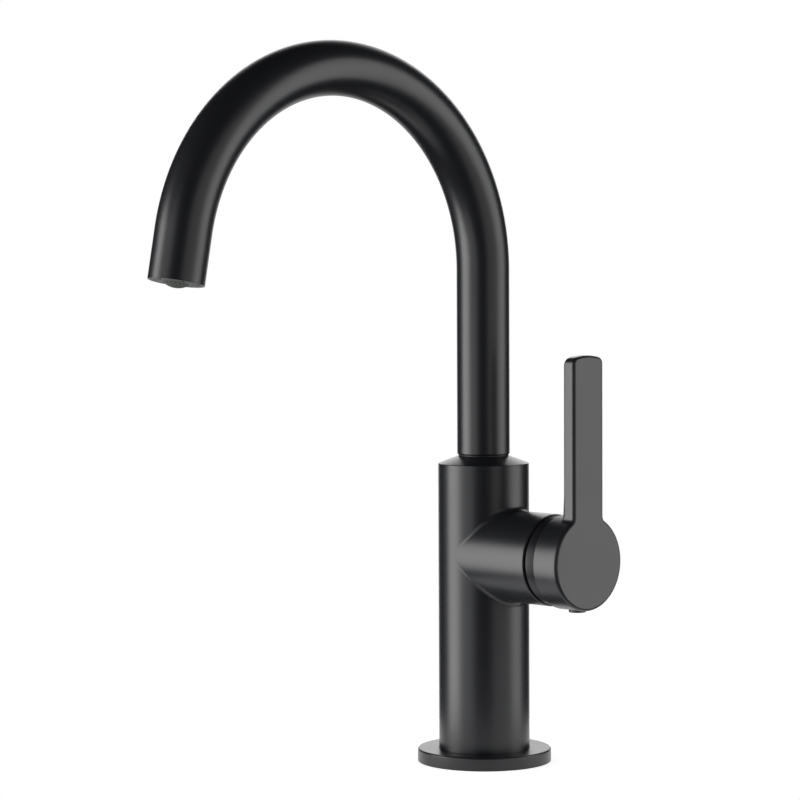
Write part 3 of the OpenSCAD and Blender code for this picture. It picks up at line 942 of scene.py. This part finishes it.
@dataclass(frozen=True)
class Gooseneck:
    """The spout's tube: upright, arch and outlet along one line."""

    radius: float
    foot: float
    top: float
    wall: float = 0.0011
    arch_radius: float = 0.0803
    sweep: float = math.radians(169.2)
    outlet: float = 0.0197
    lower_rim: float = 0.0008
    outlet_rim: float = 0.0002
    washer_inner: float = 0.00901
    washer_outer: float = 0.01045
    washer_edge: float = 0.0001
    sides: int = 128
    arch_steps: int = 120

    @classmethod
    def from_frame(cls) -> "Gooseneck":
        """Reads the tube's outer sizes from the frame."""
        low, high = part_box("spout_tube")
        return cls(radius=high.x, foot=low.z, top=high.z)

    @property
    def arch_centre(self) -> Vector:
        """The point that the arch bends about."""
        return Vector((0, -self.arch_radius, self.top - self.arch_radius - self.radius))

    @property
    def outlet_placing(self) -> Matrix:
        """Drawing to faucet for what is turned about the outlet's axis.

        Returns:
            The placing, whose axis points out of the spout.
        """
        bend = Matrix.Rotation(self.sweep, 4, "X")
        end = self.arch_centre + bend @ Vector((0, self.arch_radius, self.outlet))
        return Matrix.Translation(end) @ bend

    def tube(self) -> Piece:
        """Draws a ring up, round the arch and out, and gives it its wall and rims.

        Returns:
            The tube.
        """
        deselect()
        bpy.ops.mesh.primitive_circle_add(vertices=self.sides, radius=self.radius,
                                          location=(0, 0, self.foot))
        piece = named("gooseneck_tube")
        rise = UP * (self.arch_centre.z - self.foot)
        way_out = self.outlet_placing.to_3x3() @ UP * self.outlet
        with editing(piece):
            pick_all()
            pull(rise)
            bpy.ops.mesh.spin(steps=self.arch_steps, angle=self.sweep, center=self.arch_centre,
                              axis=(-1, 0, 0))
            pull(way_out)
            face_outwards()
        apply_modifier(piece, "SOLIDIFY", thickness=self.wall, offset=-1.0)
        round_edges(piece, self._rim, self.lower_rim, CORNER_SEGMENTS)
        soften(piece)
        return piece

    def _rim(self, low: Vector, high: Vector) -> float:
        """The rounding of one edge of the tube, 0 away from its two outer rims.

        Args:
            low: One end of the edge.
            high: Its other end.

        Returns:
            The rounding's radius.
        """
        ends = (low, high)
        if all(co.z < self.foot + NEAR and co.xy.length > self.radius - NEAR for co in ends):
            return self.lower_rim
        to_outlet = self.outlet_placing.inverted()
        turned = [to_outlet @ co for co in ends]
        if all(abs(co.z) < NEAR and abs(co.xy.length - self.radius) < NEAR for co in turned):
            return self.outlet_rim
        return 0.0

    def washer(self) -> Piece:
        """Turns the slide washer between the cone and the tube.

        Returns:
            The washer.
        """
        low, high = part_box("spout_washer")
        section = [
            Corner(self.washer_inner, low.z),
            Corner(self.washer_outer, low.z, self.washer_edge),
            Corner(self.washer_outer, high.z, self.washer_edge),
            Corner(self.washer_inner, high.z),
        ]
        return turn("slide_washer", section, UPRIGHT)


# ---- Outlet ----


@dataclass(frozen=True)
class Aerator:
    """The aerator's toothed housing and its domed, perforated screen, drawn about the outlet."""

    placing: Matrix
    head_radius: float = 0.00975
    barrel_radius: float = 0.0087
    bore_radius: float = 0.00735
    proud: float = 0.0001
    head_depth: float = 0.0010
    barrel_depth: float = 0.0106
    rim: float = 0.0002
    notches: int = 6
    notch_width: float = 0.0016
    notch_root: float = 0.00795
    notch_floor: float = -0.0012
    notch_turn: float = math.radians(20)
    screen_radius: float = 0.0073
    dome_radius: float = 0.0054
    bulge: float = 0.0019
    screen_thickness: float = 0.0010
    hole_radius: float = 0.0004
    hole_pitch: float = 0.00155
    hole_rings: int = 3
    hole_sides: int = 16
    dome_steps: int = 12

    def housing(self) -> Piece:
        """Turns the housing and cuts the key's notches into its head.

        Returns:
            The housing.
        """
        section = [
            Corner(self.bore_radius, -self.barrel_depth),
            Corner(self.barrel_radius, -self.barrel_depth, self.rim),
            Corner(self.barrel_radius, -self.head_depth),
            Corner(self.head_radius, -self.head_depth),
            Corner(self.head_radius, self.proud, self.rim),
            Corner(self.bore_radius, self.proud, self.rim),
        ]
        piece = turn("aerator_ring", section, self.placing)
        for number in range(self.notches):
            angle = self.notch_turn + number * math.tau / self.notches
            carve(piece, self._notch(self.placing @ Matrix.Rotation(angle, 4, "Z")))
        soften(piece)
        return piece

    def _notch(self, placing: Matrix) -> Piece:
        """A block that cuts one notch, open outwards and at the face.

        Args:
            placing: Drawing to faucet, turned to the notch.

        Returns:
            The block.
        """
        half = self.notch_width / 2
        notch = block("notch", (self.notch_root, -half, self.notch_floor),
                      (self.head_radius + OVER, half, self.proud + OVER))
        put(notch, placing)
        return notch

    def screen(self) -> Piece:
        """Turns the face with its dome and drills the dome's hexagonal pattern of holes.

        Returns:
            The screen.
        """
        curve = (self.dome_radius ** 2 + self.bulge ** 2) / (2 * self.bulge)
        centre = self.proud + self.bulge - curve
        inner = curve - self.screen_thickness
        underside = self.proud - self.screen_thickness
        edge = math.acos(self.dome_radius / curve)
        inner_edge = math.asin((underside - centre) / inner)
        under = arc((0, centre), inner, RIGHT_ANGLE, inner_edge, self.dome_steps)
        over = arc((0, centre), curve, edge, RIGHT_ANGLE, self.dome_steps)
        section = [
            *(Corner(out, height) for out, height in under),
            Corner(self.screen_radius, underside),
            Corner(self.screen_radius, self.proud, self.rim),
            *(Corner(out, height) for out, height in over),
        ]
        piece = turn("aerator_face", self._on_axis(section), self.placing)
        carve(piece, self._drills())
        soften(piece)
        return piece

    def _on_axis(self, section: list[Corner]) -> list[Corner]:
        """Sets a section's first and last corner exactly on the axis."""
        first, last = section[0], section[-1]
        return [Corner(0, first.up), *section[1:-1], Corner(0, last.up)]

    def _drills(self) -> Piece:
        """One drill, copied to the centre and to each place of the rings of six, twelve, eighteen.

        Returns:
            The drills as one piece.
        """
        depth = self.proud + self.bulge + OVER
        first = rod("drill", self.hole_radius, -depth, depth, UPRIGHT, self.hole_sides)
        drills = [first]
        for ring in range(1, self.hole_rings + 1):
            out = ring * self.hole_pitch
            for number in range(HEXAGON_SIDES * ring):
                angle = number * math.tau / (HEXAGON_SIDES * ring)
                choose(first)
                shift = (out * math.cos(angle), out * math.sin(angle), 0)
                bpy.ops.object.duplicate_move(TRANSFORM_OT_translate={"value": shift})
                drills.append(bpy.context.object)
        choose(first)
        for drill in drills:
            drill.select_set(True)
        bpy.ops.object.join()
        put(first, self.placing)
        return first


# ---- Bonnet and handle ----


@dataclass(frozen=True)
class Bonnet:
    """The domed cover over the cartridge, about which the handle tilts."""

    layout: Layout
    rear: float
    front: float
    rim_radius: float
    rim_x: float = 0.0423
    hole_radius: float = 0.0075
    top_thickness: float = 0.0012
    spigot_radius: float = 0.0150
    spigot_bore: float = 0.0134
    hole_edge: float = 0.0003
    dome_steps: int = 16
    steps: int = 192

    @classmethod
    def from_frame(cls, layout: Layout) -> "Bonnet":
        """Reads the bonnet's outer sizes from the frame and keeps the layout."""
        low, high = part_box("bonnet")
        return cls(layout, rear=low.x, front=high.x, rim_radius=high.y)

    def cover(self) -> Piece:
        """Turns the cover, whose dome is a ball about the handle's pivot.

        Returns:
            The cover.
        """
        pivot_x = self.layout.pivot_x
        ball = math.hypot(self.rim_radius, self.rim_x - pivot_x)
        start = math.asin((self.rim_x - pivot_x) / ball)
        end = math.asin((self.front - pivot_x) / ball)
        dome = arc((0, pivot_x), ball, start, end, self.dome_steps)
        section = [
            Corner(self.spigot_bore, self.rear),
            Corner(self.spigot_radius, self.rear),
            Corner(self.spigot_radius, self.rim_x),
            *(Corner(out, along) for out, along in dome),
            Corner(self.hole_radius, self.front, self.hole_edge),
            Corner(self.hole_radius, self.front - self.top_thickness),
            Corner(self.spigot_bore, self.front - self.top_thickness),
        ]
        return turn("bonnet_cover", section, self.layout.branch, self.steps)


@dataclass(frozen=True)
class Handle:
    """The cast handle: a round hub with a flat lever rising from its front."""

    layout: Layout
    rear: float
    front: float
    radius: float
    tip_z: float
    wall: float = 0.0028
    front_wall: float = 0.0036
    lever_width: float = 0.0175
    lever_depth: float = 0.0065
    crown: float = 0.030
    tip_corner: float = 0.0028
    neck: float = 0.0026
    front_rounding: float = 0.0014
    tip_rounding: float = 0.0025
    lever_rounding: float = 0.0020
    rear_rounding: float = 0.0005
    root_rounding: float = 0.0010
    taper: float = 0.0042
    boss_radius: float = 0.0060
    boss_inset: float = 0.0039
    rib_width: float = 0.0094
    stem_socket: float = 0.0061
    screw_inset: float = 0.0064
    screw_bore: float = 0.00255
    plug_radius: float = 0.0035
    plug_seat: float = 0.0024
    plug_proud: float = 0.0008
    plug_edge: float = 0.0004
    fit: float = 0.00005
    hub_steps: int = 128
    arc_steps: int = 10
    boss_steps: int = 40
    plug_steps: int = 64

    @classmethod
    def from_frame(cls, layout: Layout) -> "Handle":
        """Reads the handle's outer sizes from the frame and keeps the layout."""
        low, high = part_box("handle")
        return cls(layout, rear=low.x, front=high.x, radius=layout.branch_z - low.z, tip_z=high.z)

    @property
    def lever_rear(self) -> float:
        """Where the lever's rear face lies along the branch's axis."""
        return self.front - self.lever_depth

    @property
    def cavity_x(self) -> float:
        """Where the hub's hollow ends."""
        return self.front - self.front_wall

    @property
    def neck_centre(self) -> Point2:
        """The centre of the hollow curve between hub and lever, seen from the front."""
        aside = self.lever_width / 2 + self.neck
        return aside, math.sqrt((self.radius + self.neck) ** 2 - aside ** 2)

    @property
    def neck_angle(self) -> float:
        """The angle about the hub's centre at which that curve leaves the hub."""
        aside, above = self.neck_centre
        return math.atan2(above, aside)

    def _outline(self, tip: float) -> list[Point2]:
        """The front outline about the hub's centre: hub, neck, lever, crowned tip and back.

        Args:
            tip: The tip's height above the hub's centre.

        Returns:
            The outline's points, aside and above.
        """
        half = self.lever_width / 2
        turn_at = self.neck_angle
        aside, above = self.neck_centre
        corner_side = half - self.tip_corner
        crown_centre = tip - self.crown
        corner_up = crown_centre + math.sqrt((self.crown - self.tip_corner) ** 2 - corner_side ** 2)
        corner_angle = math.atan2(corner_up - crown_centre, corner_side)
        full_steps = round(self.hub_steps * (math.tau - (math.pi - 2 * turn_at)) / math.tau)
        return [
            *arc((0, 0), self.radius, math.pi - turn_at, math.tau + turn_at, full_steps),
            *arc((aside, above), self.neck, math.pi + turn_at, math.pi, self.arc_steps),
            *arc((corner_side, corner_up), self.tip_corner, 0, corner_angle, self.arc_steps),
            *arc((0, crown_centre), self.crown, corner_angle, math.pi - corner_angle, self.arc_steps),
            *arc((-corner_side, corner_up), self.tip_corner, math.pi - corner_angle, math.pi,
                 self.arc_steps),
            *arc((-aside, above), self.neck, 0, -turn_at, self.arc_steps),
        ]

    def casting(self) -> Piece:
        """Models the handle from its front outline, rounds its edges and bores it.

        Returns:
            The handle.
        """
        piece = self._solid()
        round_edges(piece, self._rounding, self.tip_rounding, CORNER_SEGMENTS)
        carve(piece, self._boss(), "UNION")
        carve(piece, self._stem_socket())
        carve(piece, rod("screw_bore", self.screw_bore, 0, self.radius, self.screw_placing))
        carve(piece, rod("plug_bore", self.plug_radius + self.fit, self.radius - self.plug_seat,
                         self.radius + OVER, self.screw_placing))
        soften(piece)
        return piece

    @property
    def screw_placing(self) -> Matrix:
        """Drawing to faucet for the set screw's axis, which points down from the hub's centre."""
        start = Vector((self.rear + self.screw_inset, 0, self.layout.branch_z))
        return Matrix.Translation(start) @ Matrix.Rotation(math.pi, 4, "X")

    def _solid(self) -> Piece:
        """Draws the hub's and the lever's faces, pulls both forwards and the hub back, and hollows it.

        Returns:
            The handle with sharp edges and an empty hub.
        """
        x = self.lever_rear
        middle = self.layout.branch_z
        points = [Vector((x, aside, middle + above)) for aside, above in self._outline(self.tip_z - middle)]
        piece = draw_outline("handle_casting", points)
        turn_at = self.neck_angle
        shared_steps = round(self.hub_steps * (math.pi - 2 * turn_at) / math.tau)
        shared = [Vector((x, aside, middle + above))
                  for aside, above in arc((0, 0), self.radius, turn_at, math.pi - turn_at, shared_steps)]
        neck_z = shared[0].z

        def aside_of_hub(co: Vector) -> float:
            """How far a place lies outside the hub's outline."""
            return math.hypot(co.y, co.z - middle) - self.radius

        with editing(piece):
            pick_verts(piece, lambda co: (co - shared[0]).length < NEAR)
            pull_line(shared)
            pick_all()
            bpy.ops.mesh.remove_doubles(threshold=SEAM)
            pick_edges(piece, lambda co: abs(aside_of_hub(co)) < SEAM)
            bpy.ops.mesh.edge_face_add()
            pick_edges(piece, lambda co: co.z > neck_z - NEAR and aside_of_hub(co) > -SEAM)
            bpy.ops.mesh.edge_face_add()
            pick_all()
            pull((self.lever_depth, 0, 0))
            pick_faces(piece, lambda mid, normal: mid.x > self.front - NEAR)
            bpy.ops.mesh.dissolve_faces(use_verts=True)
            pick_faces(piece, lambda mid, normal: abs(mid.x - x) < NEAR and mid.z < neck_z)
            pull((self.rear - x, 0, 0))
            bpy.ops.mesh.inset(thickness=self.wall)
            pull((self.cavity_x - self.rear, 0, 0))
            face_outwards()
        return piece

    def _rounding(self, low: Vector, high: Vector) -> float:
        """The rounding of one edge of the handle.

        Args:
            low: One end of the edge.
            high: Its other end.

        Returns:
            The rounding's radius, which runs out to nothing where neck and hub meet.
        """
        ends = (low, high)
        radii = [math.hypot(co.y, co.z - self.layout.branch_z) for co in ends]
        if all(co.x > self.front - NEAR for co in ends):
            return self.front_rounding
        if all(co.x < self.rear + NEAR for co in ends):
            return self.rear_rounding
        if any(abs(co.x - self.lever_rear) > NEAR for co in ends):
            return 0.0
        middle = (low + high) / 2
        above = middle.z - self.layout.branch_z
        neck_y = self.radius * math.cos(self.neck_angle)
        neck_z = self.radius * math.sin(self.neck_angle)
        if above < neck_z:
            return 0.0
        away = math.hypot(neck_y - abs(middle.y), above - neck_z)
        fade = min(1.0, away / self.taper) ** 2
        if max(radii) < self.radius + NEAR:
            return self.root_rounding * fade
        below_tip = max(0.0, self.tip_z - middle.z)
        corner = max(0.0, 1 - below_tip / (2 * self.tip_corner))
        return self.lever_rounding * fade + (self.tip_rounding - self.lever_rounding) * corner

    def _boss(self) -> Piece:
        """The boss that grips the valve's stem, with the rib that carries the set screw.

        Returns:
            The boss and its rib as one piece.
        """
        half = self.rib_width / 2
        side = -math.acos(half / self.boss_radius)
        outline = [
            *arc((0, 0), self.boss_radius, side, math.pi - side, self.boss_steps),
            (-half, -self.radius + self.wall / 2),
            (half, -self.radius + self.wall / 2),
        ]
        x = self.rear + self.boss_inset
        points = [Vector((x, aside, self.layout.branch_z + above)) for aside, above in outline]
        piece = draw_outline("boss", points)
        length = self.cavity_x - x + self.front_wall / 2
        with editing(piece):
            pick_all()
            bpy.ops.mesh.edge_face_add()
            pull((length, 0, 0))
            face_outwards()
        return piece

    def _stem_socket(self) -> Piece:
        """The block that cuts the square socket for the valve's stem.

        Returns:
            The block.
        """
        half = self.stem_socket / 2
        middle = self.layout.branch_z
        start = self.rear + self.boss_inset - OVER
        return block("stem_socket", (start, -half, middle - half), (self.cavity_x, half, middle + half))

    def plug(self) -> Piece:
        """Turns the plug that hides the set screw under the hub.

        Returns:
            The plug.
        """
        inner = self.radius - self.plug_seat
        outer = self.radius + self.plug_proud
        section = [
            Corner(0, inner),
            Corner(self.plug_radius, inner, self.plug_edge),
            Corner(self.plug_radius, outer, self.plug_edge),
            Corner(0, outer),
        ]
        return turn("screw_plug", section, self.screw_placing, self.plug_steps)


# ---- Studio ----


@dataclass(frozen=True)
class Camera:
    """The photograph's camera, fitted to the faucet's outlines."""

    distance: float = 1.17187
    height: float = 0.20711
    azimuth: float = math.radians(45.435)
    yaw: float = math.radians(1.706)
    pitch: float = math.radians(-2.70)
    roll: float = math.radians(-0.267)
    lens: float = 126.04
    sensor: float = 36.0
    nearest: float = 0.01

    def place(self) -> None:
        """Adds the camera and makes it the scene's."""
        data = bpy.data.cameras.new("camera")
        data.lens = self.lens
        data.sensor_width = self.sensor
        data.clip_start = self.nearest
        camera = bpy.data.objects.new("camera", data)
        bpy.context.scene.collection.objects.link(camera)
        inwards = Vector((-math.sin(self.azimuth), math.cos(self.azimuth), 0))
        flat = Matrix.Rotation(self.yaw, 3, "Z") @ inwards
        forward = flat * math.cos(self.pitch) + UP * math.sin(self.pitch)
        level = forward.cross(UP).normalized()
        above = level.cross(forward)
        right = level * math.cos(self.roll) + above * math.sin(self.roll)
        up = above * math.cos(self.roll) - level * math.sin(self.roll)
        turned = Matrix((right, up, -forward)).transposed()
        stand = Vector((self.distance * math.sin(self.azimuth), -self.distance * math.cos(self.azimuth),
                        self.height))
        camera.matrix_world = Matrix.Translation(stand) @ turned.to_4x4()
        bpy.context.scene.camera = camera


@dataclass(frozen=True)
class Softbox:
    """A large soft lamp: its bearing from the camera's side, size, height and brightness."""

    name: str
    bearing: float
    distance: float
    width: float
    height: float
    middle: float
    radiance: float

    def light(self, view: float, target: Vector) -> None:
        """Adds the lamp, aimed at the faucet.

        Args:
            view: The camera's azimuth.
            target: The point that the lamp faces.
        """
        data = bpy.data.lights.new(self.name, "AREA")
        data.shape = "ELLIPSE"
        data.size = self.width
        data.size_y = self.height
        area = math.pi / 4 * self.width * self.height
        data.energy = self.radiance * math.pi * area
        lamp = bpy.data.objects.new(self.name, data)
        bpy.context.scene.collection.objects.link(lamp)
        angle = view + self.bearing
        place = Vector((self.distance * math.sin(angle), -self.distance * math.cos(angle), self.middle))
        aim = (target - place).to_track_quat("-Z", "Y")
        lamp.matrix_world = Matrix.Translation(place) @ aim.to_matrix().to_4x4()
        lamp.visible_camera = False


def white_to_camera(tree: Tree) -> bpy.types.NodeSocket:
    """Adds a mask of the rays that see the studio's white: the camera's, reflected and passed on.

    Args:
        tree: A material's or the world's node tree.

    Returns:
        The mask's socket.
    """
    path = tree.nodes.new("ShaderNodeLightPath").outputs
    mask = path["Is Camera Ray"]
    for kind in ("Is Glossy Ray", "Is Transmission Ray"):
        either = add_node(tree, "ShaderNodeMath", {0: mask, 1: path[kind]}, operation="MAXIMUM")
        mask = either.outputs["Value"]
    return mask


def matt_material(name: str, colour: Colour) -> bpy.types.Material:
    """A plain material without gloss, for what belongs to the studio.

    Args:
        name: The material's name.
        colour: Its colour.

    Returns:
        The material.
    """
    material = bpy.data.materials.new(name)
    material.use_nodes = True
    feed(material.node_tree.nodes["Principled BSDF"], {
        "Base Color": (*colour, 1),
        "Roughness": 1.0,
        "Specular IOR Level": 0.0,
    })
    return material


@dataclass(frozen=True)
class Studio:
    """A plain pale floor, white surroundings, a dark screen out of sight and soft lamps."""

    floor_radius: float = 0.11
    floor_gap: float = 0.00002
    floor_colour: Colour = (0.85, 0.85, 0.85)
    floor_glow: float = 0.70
    floor_sides: int = 128
    world_light: float = 0.25
    screen_radius: float = 2.6
    screen_foot: float = -1.2
    screen_top: float = 2.2
    screen_colour: Colour = (0.01, 0.01, 0.01)
    screen_sides: int = 72
    gap_half_angle: float = math.radians(23)
    target: tuple[float, float, float] = (0, 0, 0.12)
    softboxes: tuple[Softbox, ...] = (
        Softbox("left_key", math.radians(-82), 1.5, 1.02, 1.55, 0.06, 5.4),
        Softbox("left_fill", math.radians(-45), 1.6, 1.16, 1.9, 0.10, 1.3),
        Softbox("right_key", math.radians(89), 1.5, 1.02, 1.9, 0.20, 2.6),
        Softbox("right_fill", math.radians(46), 1.6, 1.66, 1.9, 0.20, 0.80),
        Softbox("back_top", math.radians(180), 1.8, 1.7, 1.0, 0.75, 1.15),
    )

    def build(self, view: float) -> None:
        """Builds the whole studio.

        Args:
            view: The camera's azimuth.
        """
        self._world()
        self._floor()
        self._screens(view)
        for softbox in self.softboxes:
            softbox.light(view, Vector(self.target))

    def _world(self) -> None:
        """Makes the surroundings white to the camera and dim to the faucet's diffuse light."""
        world = bpy.data.worlds.new("surroundings")
        bpy.context.scene.world = world
        world.use_nodes = True
        tree = world.node_tree
        level = add_node(tree, "ShaderNodeMapRange", {
            "Value": white_to_camera(tree),
            "To Min": self.world_light,
            "To Max": 1.0,
        })
        feed(tree.nodes["Background"], {"Color": WHITE, "Strength": level.outputs["Result"]})

    def _floor(self) -> None:
        """Lays the pale floor, which keeps the faucet's shadow under its own glow."""
        deselect()
        bpy.ops.mesh.primitive_circle_add(vertices=self.floor_sides, radius=self.floor_radius,
                                          fill_type="NGON", location=(0, 0, -self.floor_gap))
        floor = named("floor")
        material = matt_material("floor_paper", self.floor_colour)
        tree = material.node_tree
        glow = add_node(tree, "ShaderNodeMath", {0: white_to_camera(tree), 1: self.floor_glow},
                        operation="MULTIPLY")
        feed(tree.nodes["Principled BSDF"], {
            "Emission Color": WHITE,
            "Emission Strength": glow.outputs["Value"],
        })
        floor.data.materials.append(material)

    def _screens(self, view: float) -> None:
        """Stands a dark round screen about the studio, open behind the faucet, unseen by the camera.

        Args:
            view: The camera's azimuth.
        """
        deselect()
        middle = (0, 0, (self.screen_foot + self.screen_top) / 2)
        bpy.ops.mesh.primitive_cylinder_add(vertices=self.screen_sides, radius=self.screen_radius,
                                            depth=self.screen_top - self.screen_foot, location=middle)
        screen = named("dark_screen")
        behind = Vector((-math.sin(view), math.cos(view)))
        with editing(screen):
            pick_faces(screen, lambda mid, normal: abs(normal.z) < NEAR
                       and mid.xy.angle(behind) < self.gap_half_angle)
            bpy.ops.mesh.delete(type="FACE")
        screen.data.materials.append(matt_material("dark_cloth", self.screen_colour))
        screen.visible_camera = False
        screen.visible_diffuse = False
        screen.visible_shadow = False


# ---- The whole faucet ----


def dress_cad_nodes(frame: dict) -> None:
    """Gives every CAD node the finish of its material slot.

    Args:
        frame: What the frame's loading returned.
    """
    for name, node in sorted(frame["nodes"].items()):
        for holder in node.material_slots:
            finish = FINISHES[holder.material.name.split(".")[0]]
            holder.material = finish.material()
        LOG.info("%s has its slot's finish", name)


def main() -> None:
    """Builds the faucet around its frame, and the studio that it stands in."""
    logging.basicConfig(level=logging.INFO, format="%(name)s: %(message)s")
    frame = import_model()
    layout = Layout.from_frame(frame)
    camera = Camera()
    camera.place()

    base = Base.from_frame()
    body = Body.from_frame(layout)
    neck = Gooseneck.from_frame()
    aerator = Aerator(neck.outlet_placing)
    bonnet = Bonnet.from_frame(layout)
    handle = Handle.from_frame(layout)
    dress_cad_nodes(frame)

    finish_piece(frame, base.flange(), "base_flange", COAT)
    finish_piece(frame, body.casting(), "faucet_body", COAT)
    finish_piece(frame, body.grub_screw(), "spout_grub_screw", STEEL)
    finish_piece(frame, neck.tube(), "spout_tube", COAT)
    finish_piece(frame, neck.washer(), "spout_washer", BLACK_PLASTIC)
    finish_piece(frame, aerator.housing(), "aerator_housing", SCREEN)
    finish_piece(frame, aerator.screen(), "aerator_screen", SCREEN)
    finish_piece(frame, bonnet.cover(), "bonnet", COAT)
    finish_piece(frame, handle.casting(), "handle", COAT)
    finish_piece(frame, handle.plug(), "set_screw_plug", BLACK_PLASTIC)

    Studio().build(camera.azimuth)
    bpy.context.scene.view_settings.view_transform = "Standard"


if __name__ == "__main__":
    main()
